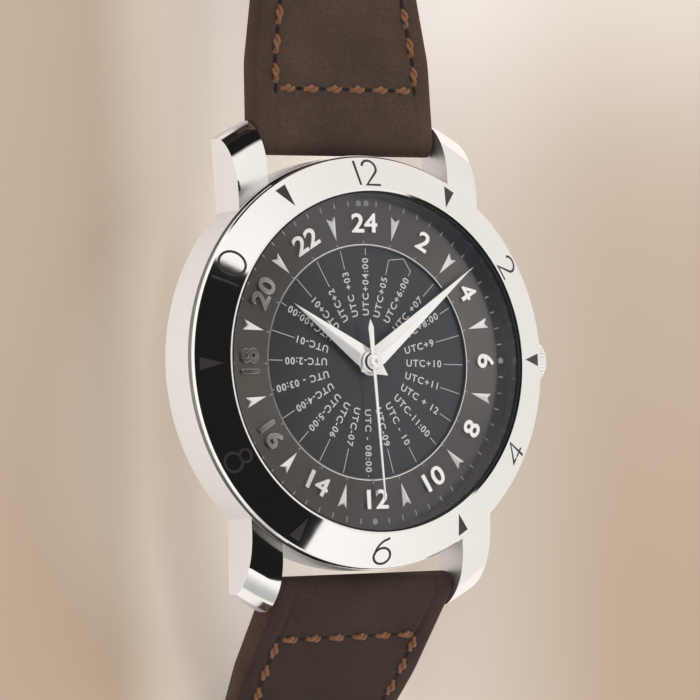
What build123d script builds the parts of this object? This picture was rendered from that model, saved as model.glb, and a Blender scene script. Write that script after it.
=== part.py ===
from build123d import *
import math
import os

os.makedirs("parts", exist_ok=True)

# A world time wristwatch. The origin is the centre of the flat case back, +Z is the way the dial
# faces, +Y is 12 o'clock and +X is 3 o'clock. All sizes are in millimetres.

# Heights through the watch, stacked from the case back up
back_thickness = 1.0
rotor_room = 0.3
rotor_weight_height = 0.8
rotor_air = 0.2
screw_head_height = 0.2
bridge_thickness = 0.7
train_height = 1.4
mainplate_thickness = 0.7
module_height = 1.14
module_plate_thickness = 0.14
disc_air = 0.07
disc_thickness = 0.25
dial_air = 0.05
dial_thickness = 0.25
flange_height = 1.5
crystal_edge_height = 0.6
crystal_dome_height = 0.3

rotor_z = back_thickness + rotor_room
screw_head_z = rotor_z + rotor_weight_height + rotor_air
bridge_z = screw_head_z + screw_head_height
train_z = bridge_z + bridge_thickness
mainplate_z = train_z + train_height
module_z = mainplate_z + mainplate_thickness
module_plate_z = module_z + module_height
disc_z = module_plate_z + module_plate_thickness + disc_air
disc_top_z = disc_z + disc_thickness
dial_z = disc_top_z + dial_air
dial_top_z = dial_z + dial_thickness
crystal_z = dial_top_z + flange_height
crystal_edge_z = crystal_z + crystal_edge_height

# Movement plates and the ring that centres them in the case
plate_radius = 15.0
plate_wall = 0.65
plate_gap = 0.05
bridge_inset = 0.1
movement_ring_wall = 1.95
ring_clearance = 0.05
pillar_radius = 1.0
pillar_inset = 1.7
plate_wall_inner = plate_radius - plate_wall
bridge_radius = plate_radius - bridge_inset
pillar_place = plate_radius - pillar_inset
movement_ring_bore = plate_radius + plate_gap
movement_ring_radius = movement_ring_bore + movement_ring_wall

# Mid case, built round the movement ring
case_wall = 3.39
back_wall_height = 1.43
flank_drop = 0.24
groove_depth = 0.54
groove_height = 0.48
lip_wall = 1.15
lip_height = 0.46
back_thread_wall = 0.95
back_thread_height = 0.55
flank_edge = 0.18
case_bore_radius = movement_ring_radius + ring_clearance
case_radius = case_bore_radius + case_wall
groove_radius = case_radius - groove_depth
lip_radius = case_bore_radius + lip_wall
back_thread_radius = case_bore_radius + back_thread_wall
back_skirt = back_thickness + back_wall_height
flank_top_z = dial_top_z - flank_drop
bezel_z = flank_top_z + groove_height
lip_z = bezel_z + lip_height

# Lugs, whose front is one turned surface
lug_inner_x = 10.5
lug_width = 3.4
lug_overhang = 4.1
lug_shoulder_reach = 0.76
lug_shoulder_drop = 0.42
lug_belly_overhang = 2.4
lug_belly_drop = 1.52
lug_tip_drop = 3.8
lug_tip_rise = 0.48
lug_root_depth = 1.64
strap_loop_radius = 1.5
strap_loop_gap = 0.26
bar_reach = case_radius + strap_loop_radius + strap_loop_gap
lug_outer_x = lug_inner_x + lug_width
lug_reach = bar_reach + lug_overhang
lug_belly_radius = bar_reach + lug_belly_overhang
lug_shoulder_radius = case_radius + lug_shoulder_reach
lug_tip_z = back_skirt - lug_tip_rise
lug_root_radius = case_radius - lug_root_depth

# Bezel, flange, crystal and its gasket
bezel_inset = 0.1
bezel_edge_lean = 0.04
flange_gap = 0.02
bezel_edge_height = 0.24
bezel_width = 3.56
bezel_rise = 1.5
bezel_inner_lip = 0.2
bezel_inner_bevel = 0.05
bezel_edge_bevel = 0.12
flange_wall = 0.19
gasket_wall = 0.18
gasket_height = 0.4
dial_gap = 0.03
bezel_radius = case_radius - bezel_inset
bezel_top_radius = bezel_radius - bezel_edge_lean
bezel_bore_radius = bezel_radius - bezel_width
bezel_crest_radius = bezel_bore_radius + bezel_inner_lip
flange_outer_radius = bezel_bore_radius - flange_gap
flange_inner_radius = flange_outer_radius - flange_wall
crystal_radius = bezel_bore_radius - gasket_wall
bezel_edge_z = bezel_z + bezel_edge_height
bezel_crest_z = bezel_edge_z + bezel_rise

# Case back
back_inset = 1.04
back_cone = 1.8
back_foot = 0.4
back_foot_height = 0.35
back_ring_wall = 1.5
back_notches = 6
back_notch_width = 1.8
back_notch_depth = 0.5
back_notch_length = 1.5
back_gasket_place = 0.3
back_gasket_width = 0.6
back_gasket_height = 0.3
back_radius = case_radius - back_inset
back_foot_radius = back_radius - back_cone
back_flat_radius = back_foot_radius - back_foot
back_room_radius = back_thread_radius - back_ring_wall
back_gasket_inner_radius = back_thread_radius + back_gasket_place
back_gasket_outer_radius = back_gasket_inner_radius + back_gasket_width

# Crown, stem and tube on the 3 o'clock axis
crown_radius = 2.05
crown_length = 2.15
crown_sink = 0.59
crown_recess_clearance = 0.12
crown_recess_gap = 0.1
crown_teeth = 30
crown_tooth_depth = 0.12
crown_rounding = 0.35
crown_dome_height = 0.18
crown_socket_depth = 0.75
tube_wall = 0.3
tube_clearance = 0.1
stem_radius = 0.45
stem_depth = 5.4
stem_clearance = 0.06
stem_slot_clearance = 0.15
crown_z = mainplate_z
crown_inner_x = case_radius - crown_sink
tube_bore_radius = stem_radius + tube_clearance
tube_radius = tube_bore_radius + tube_wall
crown_socket_radius = tube_radius + tube_clearance
stem_inner_x = plate_radius - stem_depth
stem_slot_half = stem_radius + stem_slot_clearance

# Dial, world disc and applied indices
dial_ring_width = 5.3
dial_overlap = 0.55
dial_edge_width = 0.15
dial_edge_drop = 0.05
index_inset = 2.05
index_length = 2.3
index_width = 1.0
index_height = 0.28
index_notch = 0.35
hour_marks = 12
dial_foot_radius = 0.4
dial_foot_inset = 0.6
dial_radius = bezel_bore_radius - dial_gap
dial_hole_radius = dial_radius - dial_ring_width
disc_radius = dial_hole_radius + dial_overlap
index_outer_radius = dial_radius - index_inset
dial_foot_place = bridge_radius - dial_foot_inset

# Bridges, screws and bearings
pillar_angles = (20, 88, 140, 172, 195, 345, 218)
screw_radius = 0.32
screw_head_radius = 0.6
screw_slot_width = 0.12
screw_hole_clearance = 0.04
screw_depth = 0.9
stud_radius = 0.3
day_stud_radius = 0.4
stud_clearance = 0.05
bridge_split_share = 0.24
bridge_split_gap = 0.3
bridge_lower_share = 0.4
cock_half_width = 1.7
cock_reach = 1.9
jewel_radius = 0.42
jewel_hole_clearance = 0.03
jewel_height = 0.3
pivot_radius = 0.1
arbor_radius = 0.22

# Going train, each wheel meshing with the next pinion
great_place_share = 0.32667
barrel_pitch_share = 0.36
barrel_teeth = 72
barrel_rim_width = 0.5
barrel_drum_height = 0.8
barrel_rim_height = 0.2
great_pinion_leaves = 12
great_wheel_share = 0.26
great_wheel_teeth = 56
third_pinion_leaves = 8
third_wheel_share = 0.26
third_wheel_teeth = 60
second_pinion_leaves = 7
second_wheel_share = 0.19333
second_wheel_teeth = 60
escape_pinion_leaves = 6
escape_wheel_share = 0.12667
escape_teeth = 15
escape_root_share = 0.78
escape_rake_share = 0.55
tooth_rise_share = 0.75
tooth_root_share = 0.9
tooth_foot_share = 0.25
tooth_tip_share = 0.1
wheel_thickness = 0.13
pinion_height = 0.28
end_shake = 0.05
escape_lift = 1.1
balance_lift = 0.3
hairspring_lift = 0.08
pallet_bridge_lift = 0.58
pallet_bridge_thickness = 0.2
pallet_bridge_reach = 4.4
pallet_bridge_width = 1.2
pallet_bridge_angle = 184
third_wheel_lift = 0.42
second_wheel_lift = 0.7
great_wheel_lift = 1.0
barrel_arbor_radius = 0.6
barrel_pivot_radius = 0.35
wheel_rim_width = 0.5
wheel_spoke_width = 0.4
wheel_boss_radius = 0.9
wheel_spokes = 4
barrel_pitch_radius = plate_radius * barrel_pitch_share
barrel_drum_radius = barrel_pitch_radius - barrel_rim_width
great_wheel_radius = plate_radius * great_wheel_share
third_wheel_radius = plate_radius * third_wheel_share
second_wheel_radius = plate_radius * second_wheel_share
escape_wheel_radius = plate_radius * escape_wheel_share
great_place = plate_radius * great_place_share
great_pinion_radius = barrel_pitch_radius * great_pinion_leaves / barrel_teeth
third_pinion_radius = great_wheel_radius * third_pinion_leaves / great_wheel_teeth
second_pinion_radius = third_wheel_radius * second_pinion_leaves / third_wheel_teeth
escape_pinion_radius = second_wheel_radius * escape_pinion_leaves / second_wheel_teeth
barrel_place_share = 0.57
barrel_angle = 45
escape_turn = 95

# Escapement
fork_share = 0.39
fork_thickness = 0.14
fork_lever_width = 0.34
fork_arm_width = 0.3
fork_arm_share = 0.756
pallet_width = 0.3
pallet_gap = 0.15
balance_place_share = 0.61333
balance_share = 0.28
balance_rim_width = 0.42
balance_height = 0.22
balance_arm_width = 0.5
roller_radius = 0.45
roller_height = 0.22
roller_gap = 0.16
hairspring_turns = 4
hairspring_inner_radius = 0.55
hairspring_pitch = 0.42
hairspring_width = 0.1
hairspring_height = 0.14
collet_radius = 0.5
balance_place = plate_radius * balance_place_share
balance_radius = plate_radius * balance_share

# Motion works and the 24-hour drive under the dial
motion_reach = 3.6
cannon_leaves = 12
minute_wheel_teeth = 36
minute_pinion_leaves = 10
hour_wheel_teeth = 40
day_reach = 4.5
day_pinion_leaves = 24
day_idler_teeth = 36
day_idler_pinion_leaves = 27
day_wheel_teeth = 36
day_idler_angle = 300
motion_air = 0.1
motion_wheel_height = 0.11
motion_pinion_height = 0.26
second_arbor_radius = 0.15
cannon_pipe_wall = 0.3
hour_pipe_wall = 0.31
disc_hub_wall = 0.6
pipe_clearance = 0.05
module_hole_clearance = 0.2
seat_step = 0.13
cannon_radius = motion_reach * cannon_leaves / (cannon_leaves + minute_wheel_teeth)
minute_wheel_radius = motion_reach - cannon_radius
minute_pinion_radius = motion_reach * minute_pinion_leaves / (minute_pinion_leaves + hour_wheel_teeth)
hour_wheel_radius = motion_reach - minute_pinion_radius
day_pinion_radius = day_reach * day_pinion_leaves / (day_pinion_leaves + day_idler_teeth)
day_idler_radius = day_reach - day_pinion_radius
day_wheel_radius = day_reach * day_wheel_teeth / (day_wheel_teeth + day_idler_pinion_leaves)
day_idler_pinion_radius = day_reach - day_wheel_radius
cannon_bore_radius = second_arbor_radius + pipe_clearance
cannon_pipe_radius = cannon_bore_radius + cannon_pipe_wall
hour_bore_radius = cannon_pipe_radius + pipe_clearance
hour_pipe_radius = hour_bore_radius + hour_pipe_wall
disc_hub_bore_radius = hour_pipe_radius + pipe_clearance
disc_hub_radius = disc_hub_bore_radius + disc_hub_wall
module_hole_radius = disc_hub_radius + module_hole_clearance

# Hands
hour_hand_lift = 0.3
minute_hand_lift = 0.6
second_hand_lift = 0.92
hand_edge = 0.07
hand_crown = 0.16
hour_hand_length = 10.3
hour_hand_half_width = 1.05
hour_hand_shoulder = 1.2
hour_hand_waist = 0.98
hour_hand_waist_place = 0.6
hour_hand_tail = 2.4
hour_hub_radius = 1.35
minute_hand_length = 15.4
minute_hand_half_width = 1.01
minute_hand_shoulder = 1.1
minute_hand_waist = 0.85
minute_hand_waist_place = 0.5
minute_hand_tail = 1.65
minute_hub_radius = 1.12
second_hand_length = 13.7
second_hand_half_width = 0.17
second_hand_tip_half_width = 0.08
second_hand_tail = 4.2
second_tail_half_width = 0.3
second_tail_shoulder = 3.4
second_hub_radius = 0.78
second_hub_height = 0.16
second_hand_thickness = 0.1
groove_width = 0.14
hour_groove_start = 1.5
hour_groove_end = 6.2
minute_groove_start = 1.4
minute_groove_end = 8.8
hour_hand_angle = 304.4
minute_hand_angle = 53.0
second_hand_angle = 177.0

# Rotor
rotor_inset = 0.7
rotor_weight_width = 2.4
rotor_plate_thickness = 0.2
rotor_hub_radius = 2.6
rotor_bearing_radius = 1.3
rotor_bearing_clearance = 0.05
rotor_spoke_half_angle = 78
rotor_radius = plate_radius - rotor_inset
rotor_weight_inner = rotor_radius - rotor_weight_width

# Strap halves on their spring bars
bar_drop = 3.6
bar_radius = 0.75
bar_tip_radius = 0.4
bar_tip_length = 0.9
bar_end_gap = 0.2
bar_hole_clearance = 0.05
strap_clearance = 0.2
strap_loop_clearance = 0.05
strap_end_thickness = 2.2
strap_lug_half_width = lug_inner_x - strap_clearance
strap_box_draw = 0.15
strap_box_length = 7.8
strap_taper = 1.3
strap_taper_length = 15.3
strap_loop_bore = bar_radius + strap_loop_clearance
strap_box_half_width = strap_lug_half_width - strap_box_draw
strap_half_width = strap_lug_half_width - strap_taper
upper_straight = 14.5
upper_turn = 50.0
upper_bend_radius = 16.0
upper_flat = 30.0
lower_straight = 14.6
lower_turn = 41.0
lower_bend_radius = 20.0
lower_flat = 86.0
lower_tip_radius = 8.0
strap_holes = 7
strap_hole_radius = 1.0
strap_hole_pitch = 6.5
strap_first_hole = 26.0

# Buckle and keepers
buckle_bar_radius = 0.65
buckle_bore_clearance = 0.07
buckle_side_gap = 0.35
buckle_arm_width = 2.0
buckle_length = 10.4
buckle_front_width = 2.4
buckle_thickness = 2.0
buckle_corner = 2.2
buckle_edge_bevel = 0.3
buckle_ear_wall = 0.65
tang_half_width = 0.85
tang_thickness = 0.8
tang_ring_wall = 0.43
tang_overhang = 0.5
tang_gap = 0.05
tang_slot_clearance = 0.2
tang_slot_length = 5.5
keeper_width = 5.0
keeper_wall = 0.8
keeper_inner_corner = 0.4
keeper_room = 2.5
keeper_side_gap = 0.25
keeper_gap = 0.08
fixed_keeper_place = 6.5
keeper_spacing = 2.0
buckle_bore_radius = buckle_bar_radius + buckle_bore_clearance
buckle_inner_half_width = strap_half_width + buckle_side_gap
buckle_ear_radius = buckle_bar_radius + buckle_ear_wall
tang_ring_radius = buckle_bore_radius + tang_ring_wall
tang_slot_half_width = tang_half_width + tang_slot_clearance
sliding_keeper_place = fixed_keeper_place + keeper_width + keeper_spacing

thin_shares = (0.0, 0.6, 1.0, 1.0)

overrun = 3.0


def spot(radius, angle):
    """A point at a radius from the dial's centre, its angle counted from 3 o'clock."""
    turn = math.radians(angle)
    return Vector(radius * math.cos(turn), radius * math.sin(turn))


def drum(radius, bottom, top, at=Vector()):
    """An upright cylinder between two heights."""
    rod = Cylinder(radius, top - bottom, align=(Align.CENTER, Align.CENTER, Align.MIN))
    return Pos(at.X, at.Y, bottom) * rod


def ring(outer, inner, bottom, top, at=Vector()):
    """An upright ring between two heights."""
    return drum(outer, bottom, top, at) - drum(inner, bottom, top, at)


def block(left, right, near, far, bottom, top):
    """A box between six planes."""
    box = Box(right - left, far - near, top - bottom, align=Align.MIN)
    return Pos(left, near, bottom) * box


def cross_rod(radius, start, end, y, z):
    """A cylinder along X between two places."""
    rod = Cylinder(radius, end - start, align=(Align.CENTER, Align.CENTER, Align.MIN))
    return Pos(start, y, z) * Rot(0, 90, 0) * rod


def turned(points):
    """A solid turned about the watch's axis from radius and height points."""
    return revolve(Plane.XZ * make_face(Polyline(*points, close=True)), Axis.Z)


def toothed(teeth, pitch_radius, bottom, top, at=Vector(), phase=0):
    """A toothed disc with one tooth pointing along the phase angle."""
    module = 2 * pitch_radius / teeth
    pitch = 360 / teeth
    tip = pitch_radius + tooth_rise_share * module
    root = pitch_radius - tooth_root_share * module
    outline = []
    for tooth in range(teeth):
        middle = phase + tooth * pitch
        outline.append(spot(root, middle - tooth_foot_share * pitch))
        outline.append(spot(tip, middle - tooth_tip_share * pitch))
        outline.append(spot(tip, middle + tooth_tip_share * pitch))
        outline.append(spot(root, middle + tooth_foot_share * pitch))
    face = make_face(Polyline(*outline, close=True))
    return Pos(at.X, at.Y, bottom) * extrude(face, top - bottom)


def mate_phase(teeth, phase, mate_teeth, direction):
    """The phase of a wheel whose gap takes the tooth that another turns towards it."""
    offset = phase - direction
    return direction + 180 - offset * teeth / mate_teeth + 180 / mate_teeth


def windows(outer, bottom, top, at):
    """The openings between a wheel's spokes."""
    gap = ring(outer, wheel_boss_radius, bottom, top, at)
    half = wheel_spoke_width / 2
    bar = block(0, outer, -half, half, bottom, top)
    for spoke in range(wheel_spokes):
        gap -= Pos(at.X, at.Y, 0) * Rot(0, 0, spoke * 360 / wheel_spokes) * bar
    return gap


def faceted(points, peak, bottom, edge, crown):
    """A straight-sided plate whose top rises from its edge to one peak."""
    low = [Vector(x, y, bottom) for x, y in points]
    rim = [Vector(x, y, bottom + edge) for x, y in points]
    top = Vector(peak[0], peak[1], bottom + crown)
    faces = [Face(Wire.make_polygon(low))]
    for here in range(len(points)):
        there = (here + 1) % len(points)
        faces.append(Face(Wire.make_polygon([low[here], low[there], rim[there], rim[here]])))
        faces.append(Face(Wire.make_polygon([rim[here], rim[there], top])))
    return Solid(Shell(faces))


def heading(start, end):
    """The direction from one place to another."""
    return math.degrees(math.atan2(end.Y - start.Y, end.X - start.X))


# Places of the train's arbors, each set by the meshing radii
second_at = Vector()
barrel_place = plate_radius * barrel_place_share
barrel_at = spot(barrel_place, barrel_angle)
barrel_reach = barrel_pitch_radius + great_pinion_radius
great_cosine = (barrel_place**2 + great_place**2 - barrel_reach**2) / (2 * barrel_place * great_place)
great_angle = barrel_angle + math.degrees(math.acos(great_cosine))
great_at = spot(great_place, great_angle)
third_place = third_wheel_radius + second_pinion_radius
third_reach = great_wheel_radius + third_pinion_radius
third_cosine = (great_place**2 + third_place**2 - third_reach**2) / (2 * great_place * third_place)
third_angle = great_angle + math.degrees(math.acos(third_cosine))
third_at = spot(third_place, third_angle)
escape_place = second_wheel_radius + escape_pinion_radius
escape_angle = third_angle + escape_turn
escape_at = spot(escape_place, escape_angle)
balance_at = Vector(0, -balance_place)
fork_at = escape_at + (balance_at - escape_at) * fork_share
fork_angle = heading(escape_at, balance_at)
minute_angle = great_angle - math.degrees(math.acos(great_place / (2 * motion_reach)))
minute_at = spot(motion_reach, minute_angle)
day_idler_at = spot(day_reach, day_idler_angle)

jewelled = {"third": third_at, "second": second_at, "escape": escape_at}
jewelled |= {"fork": fork_at, "balance": balance_at}
bridge_jewels = {name: at for name, at in jewelled.items() if name != "fork"}
jewel_hole_radius = pivot_radius + jewel_hole_clearance
pillar_spots = [spot(pillar_place, angle) for angle in pillar_angles]

# Levels of the wheels between the bridges and the mainplate, then of those under the dial
low_z = train_z + end_shake
drum_top_z = low_z + barrel_drum_height
escape_z = train_z + escape_lift
third_wheel_z = train_z + third_wheel_lift
second_wheel_z = train_z + second_wheel_lift
great_wheel_z = train_z + great_wheel_lift
cannon_z = module_z + motion_air
minute_wheel_z = cannon_z + (motion_pinion_height - motion_wheel_height) / 2
hour_wheel_z = cannon_z + motion_pinion_height + motion_air
day_idler_z = hour_wheel_z + motion_wheel_height + end_shake
day_pinion_top_z = day_idler_z + motion_wheel_height + end_shake
day_wheel_z = day_pinion_top_z + motion_air
hour_hand_z = dial_top_z + hour_hand_lift
minute_hand_z = dial_top_z + minute_hand_lift
second_hand_z = dial_top_z + second_hand_lift
bar_z = dial_top_z - bar_drop
minute_phase = heading(minute_at, second_at)


def mid_case():
    """The case ring with its lugs, flat flanks, crown recess and spring bar holes."""
    flank = [
        (back_thread_radius, back_skirt),
        (case_radius - flank_edge, back_skirt),
        (case_radius, back_skirt + flank_edge),
        (case_radius, flank_top_z),
        (groove_radius, flank_top_z),
        (groove_radius, bezel_z),
        (lip_radius, bezel_z),
        (lip_radius, lip_z),
        (case_bore_radius, lip_z),
        (case_bore_radius, back_skirt + back_thread_height),
        (back_thread_radius, back_skirt + back_thread_height),
    ]
    case = turned(flank) + lugs()
    recess = crown_radius + crown_recess_clearance
    floor = crown_inner_x - crown_recess_gap
    case -= cross_rod(recess, floor, case_radius + overrun, 0, crown_z)
    case -= cross_rod(tube_radius, case_bore_radius - overrun, case_radius, 0, crown_z)
    hole = bar_tip_radius + bar_hole_clearance
    depth = lug_inner_x + bar_tip_length + bar_end_gap
    for side in (-1, 1):
        case -= cross_rod(hole, -depth, depth, side * bar_reach, bar_z)
    return case


def lugs():
    """Four lugs cut from one turned front surface between their flat flanks."""
    shoulder = (lug_shoulder_radius, dial_top_z - lug_shoulder_drop)
    belly = (lug_belly_radius, dial_top_z - lug_belly_drop)
    tip = (lug_reach, dial_top_z - lug_tip_drop)
    corners = [tip, (lug_reach, lug_tip_z), (case_radius, back_skirt), (lug_root_radius, back_skirt)]
    corners += [(lug_root_radius, shoulder[1]), shoulder]
    outline = ThreePointArc(shoulder, belly, tip) + Polyline(*corners)
    horn = revolve(Plane.XZ * make_face(outline), Axis.Z)
    pair = block(lug_inner_x, lug_outer_x, -lug_reach, lug_reach, 0, dial_top_z)
    both = pair + mirror(pair, Plane.YZ)
    return horn & both


def bezel():
    """The fixed bezel: a polished cone over the case's lip, open for the crystal."""
    slope = bezel_rise / (bezel_top_radius - bezel_crest_radius)
    return turned([
        (bezel_bore_radius, lip_z),
        (lip_radius, lip_z),
        (lip_radius, bezel_z),
        (bezel_radius, bezel_z),
        (bezel_top_radius, bezel_edge_z - bezel_edge_bevel),
        (bezel_top_radius - bezel_edge_bevel, bezel_edge_z + bezel_edge_bevel * slope),
        (bezel_crest_radius, bezel_crest_z),
        (bezel_bore_radius, bezel_crest_z - bezel_inner_bevel),
    ])


def crystal():
    """The sapphire crystal with a flat underside and a low dome."""
    rim = (crystal_radius, crystal_edge_z)
    crest = (0, crystal_edge_z + crystal_dome_height)
    radius = (crystal_radius**2 + crystal_dome_height**2) / (2 * crystal_dome_height)
    middle = crystal_radius / 2
    rise = math.sqrt(radius**2 - middle**2) - radius + crystal_dome_height
    dome = ThreePointArc(rim, (middle, crystal_edge_z + rise), crest)
    outline = dome + Polyline(crest, (0, crystal_z), (crystal_radius, crystal_z), rim)
    return revolve(Plane.XZ * make_face(outline), Axis.Z)


def case_back():
    """The screwed case back: a flat foot, a cone with wrench notches and a threaded ring."""
    back = turned([
        (0, 0),
        (back_flat_radius, 0),
        (back_foot_radius, back_foot_height),
        (back_radius, back_skirt - back_foot_height),
        (back_radius, back_skirt),
        (back_thread_radius, back_skirt),
        (back_thread_radius, back_skirt + back_thread_height),
        (back_room_radius, back_skirt + back_thread_height),
        (back_room_radius, back_thickness),
        (0, back_thickness),
    ])
    back -= back_gasket()
    ceiling = back_foot_height + back_notch_depth
    side = back_notch_width / 2
    near = back_radius - back_notch_length
    notch = block(near, back_radius + overrun, -side, side, -overrun, ceiling)
    for turn in range(back_notches):
        back -= Rot(0, 0, turn * 360 / back_notches) * notch
    return back


def back_gasket():
    """The rubber ring in the case back's groove."""
    bottom = back_skirt - back_gasket_height
    return ring(back_gasket_outer_radius, back_gasket_inner_radius, bottom, back_skirt)


def crown():
    """The crown: coin-edged, domed at its outer end, with a socket over the tube."""
    knurl = toothed(crown_teeth, crown_radius - crown_tooth_depth, 0, crown_length + overrun)
    round_middle = crown_rounding * (1 - math.sqrt(1 / 2))
    rim_z = crown_length - crown_dome_height
    rim = crown_radius - crown_rounding
    dome_radius = (rim**2 + crown_dome_height**2) / (2 * crown_dome_height)
    middle = rim / 2
    rise = math.sqrt(dome_radius**2 - middle**2) - dome_radius
    start = (crown_radius, rim_z - crown_rounding)
    half_way = (crown_radius - round_middle, rim_z - round_middle)
    end = (rim, rim_z)
    top = (0, crown_length)
    outline = ThreePointArc(start, half_way, end)
    outline += ThreePointArc(end, (middle, crown_length + rise), top)
    outline += Polyline(top, (0, 0), (crown_radius, 0), start)
    shape = knurl & revolve(Plane.XZ * make_face(outline), Axis.Z)
    shape -= drum(crown_socket_radius, -overrun, crown_socket_depth)
    return Pos(crown_inner_x, 0, crown_z) * Rot(0, 90, 0) * shape


def crown_stem():
    """The winding stem from the movement to the bottom of the crown's socket."""
    return cross_rod(stem_radius, stem_inner_x, crown_inner_x + crown_socket_depth, 0, crown_z)


def crown_tube():
    """The tube pressed into the case, on which the crown's socket runs."""
    end = crown_inner_x + crown_socket_depth - stem_clearance
    start = case_bore_radius + ring_clearance
    tube = cross_rod(tube_radius, start, end, 0, crown_z)
    return tube - cross_rod(tube_bore_radius, start, end, 0, crown_z)


def world_disc():
    """The rotating disc of the time zones, pressed on the hub of the 24-hour wheel."""
    return ring(disc_radius, disc_hub_bore_radius + end_shake, disc_z, disc_top_z)


def dial_ring():
    """The fixed 24-hour dial with its two feet in the dial side plate."""
    dial = turned([
        (dial_hole_radius, dial_z),
        (dial_radius, dial_z),
        (dial_radius, dial_top_z),
        (dial_hole_radius + dial_edge_width, dial_top_z),
        (dial_hole_radius, dial_top_z - dial_edge_drop),
    ])
    foot_z = module_plate_z + module_plate_thickness
    for angle in (day_idler_angle, day_idler_angle + 180):
        dial += drum(dial_foot_radius, foot_z, dial_z, spot(dial_foot_place, angle))
    return dial


def dial_indices():
    """Applied faceted triangles at the odd hours of the 24-hour dial."""
    half = index_width / 2
    outline = [(0, index_outer_radius - index_length), (half, index_outer_radius)]
    outline += [(0, index_outer_radius - index_notch), (-half, index_outer_radius)]
    peak = (0, index_outer_radius - index_notch - index_height / 2)
    marker = faceted(outline, peak, dial_top_z, index_height / 3, index_height)
    return [Rot(0, 0, (mark + 1 / 2) * 360 / hour_marks) * marker for mark in range(hour_marks)]


def movement_ring():
    """The steel ring that centres the movement in the case, with a hole for the stem."""
    bottom = back_skirt + back_thread_height
    holder = ring(movement_ring_radius, movement_ring_bore, bottom, dial_z)
    return holder - cross_rod(tube_bore_radius, 0, movement_ring_radius + overrun, 0, crown_z)


def mainplate():
    """The movement's main plate with its wall, bridge pillars, studs and bearings."""
    plate = drum(plate_radius, mainplate_z, module_z)
    plate += ring(plate_radius, plate_wall_inner, train_z, mainplate_z)
    for pillar in pillar_spots:
        plate += drum(pillar_radius, train_z, mainplate_z, pillar)
    for pillar in pillar_spots:
        plate -= drum(screw_radius + screw_hole_clearance, train_z - overrun, train_z + screw_depth, pillar)
    for at in jewelled.values():
        plate -= drum(jewel_radius, train_z, module_z + overrun, at)
    plate -= drum(arbor_radius + stud_clearance, train_z, module_z + overrun, great_at)
    plate -= drum(barrel_pivot_radius + stud_clearance, train_z, module_z + overrun, barrel_at)
    plate += drum(stud_radius, module_z, day_idler_z, minute_at)
    plate += drum(day_stud_radius, module_z, module_plate_z, day_idler_at)
    top = crown_z + stem_radius + stem_clearance
    near = stem_inner_x - stem_slot_half
    return plate - block(near, plate_radius + overrun, -stem_slot_half, stem_slot_half, train_z, top)


def bridges():
    """Barrel bridge, train bridge and balance cock, cut from one round blank."""
    blank = drum(bridge_radius, bridge_z, train_z)
    holes = [(screw_radius + screw_hole_clearance, pillar) for pillar in pillar_spots]
    holes += [(jewel_radius, at) for at in bridge_jewels.values()]
    holes.append((jewel_hole_radius, great_at))
    holes.append((barrel_pivot_radius + stud_clearance, barrel_at))
    for radius, at in holes:
        blank -= drum(radius, bridge_z - overrun, train_z + overrun, at)
    wide = bridge_radius + overrun
    split = plate_radius * bridge_split_share
    upper = split + bridge_split_gap / 2
    lower = split - bridge_split_gap / 2
    edge = -plate_radius * bridge_lower_share
    barrel_side = blank & block(-wide, wide, upper, wide, 0, mainplate_z)
    train_side = blank & block(-wide, wide, edge, lower, 0, mainplate_z)
    near = -balance_place - cock_half_width
    cock = blank & block(-wide, cock_reach, near, near + 2 * cock_half_width, 0, mainplate_z)
    return barrel_side, train_side, cock


def bridge_screws():
    """Slotted screws through the bridges into the pillars."""
    screws = []
    for pillar in pillar_spots:
        screw = drum(screw_head_radius, screw_head_z, bridge_z, pillar)
        screw += drum(screw_radius, bridge_z, train_z + screw_depth, pillar)
        half = screw_slot_width / 2
        depth = screw_head_z + screw_head_height / 2
        slot = block(-screw_head_radius, screw_head_radius, -half, half, 0, depth)
        screws.append(screw - Pos(pillar.X, pillar.Y, 0) * slot)
    return screws


def jewels():
    """Ruby bearings in the bridges and in the mainplate."""
    stones = []
    for at in bridge_jewels.values():
        stones.append(ring(jewel_radius, jewel_hole_radius, train_z - jewel_height, train_z, at))
    for name, at in jewelled.items():
        centre = name == "second"
        hole = second_arbor_radius + jewel_hole_clearance if centre else jewel_hole_radius
        stones.append(ring(jewel_radius, hole, mainplate_z, mainplate_z + jewel_height, at))
    return stones


def pallet_bridge():
    """The small bridge between fork and balance, with its foot on the mainplate."""
    bottom = train_z + pallet_bridge_lift
    top = bottom + pallet_bridge_thickness
    half = pallet_bridge_width / 2
    foot = Vector(pallet_bridge_reach, 0)
    shape = block(0, pallet_bridge_reach, -half, half, bottom, top)
    shape += drum(half, bottom, top) + drum(half, bottom, mainplate_z, foot)
    shape -= drum(jewel_hole_radius, bottom - overrun, top + overrun)
    return Pos(fork_at.X, fork_at.Y, 0) * Rot(0, 0, pallet_bridge_angle) * shape


def module_plate():
    """The plate over the motion works, with the wall that stands on the mainplate."""
    top = module_plate_z + module_plate_thickness
    plate = ring(bridge_radius, module_hole_radius, module_plate_z, top)
    return plate + ring(bridge_radius, plate_wall_inner, module_z, module_plate_z)


def staff(at, top=mainplate_z):
    """A pivoted arbor between the bridge and the mainplate."""
    body = drum(arbor_radius, low_z, top - end_shake, at)
    return body + drum(pivot_radius, train_z - jewel_height, mainplate_z + jewel_height, at)


def pinion(leaves, radius, wheel_z, at, phase):
    """A pinion whose leaves reach past both faces of the wheel that it meshes with."""
    bottom = wheel_z - (pinion_height - wheel_thickness) / 2
    return toothed(leaves, radius, bottom, bottom + pinion_height, at, phase)


def wheel(teeth, radius, bottom, at, phase):
    """A spoked wheel of the going train."""
    top = bottom + wheel_thickness
    rim = toothed(teeth, radius, bottom, top, at, phase)
    return rim - windows(radius - wheel_rim_width, bottom, top, at)


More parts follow.
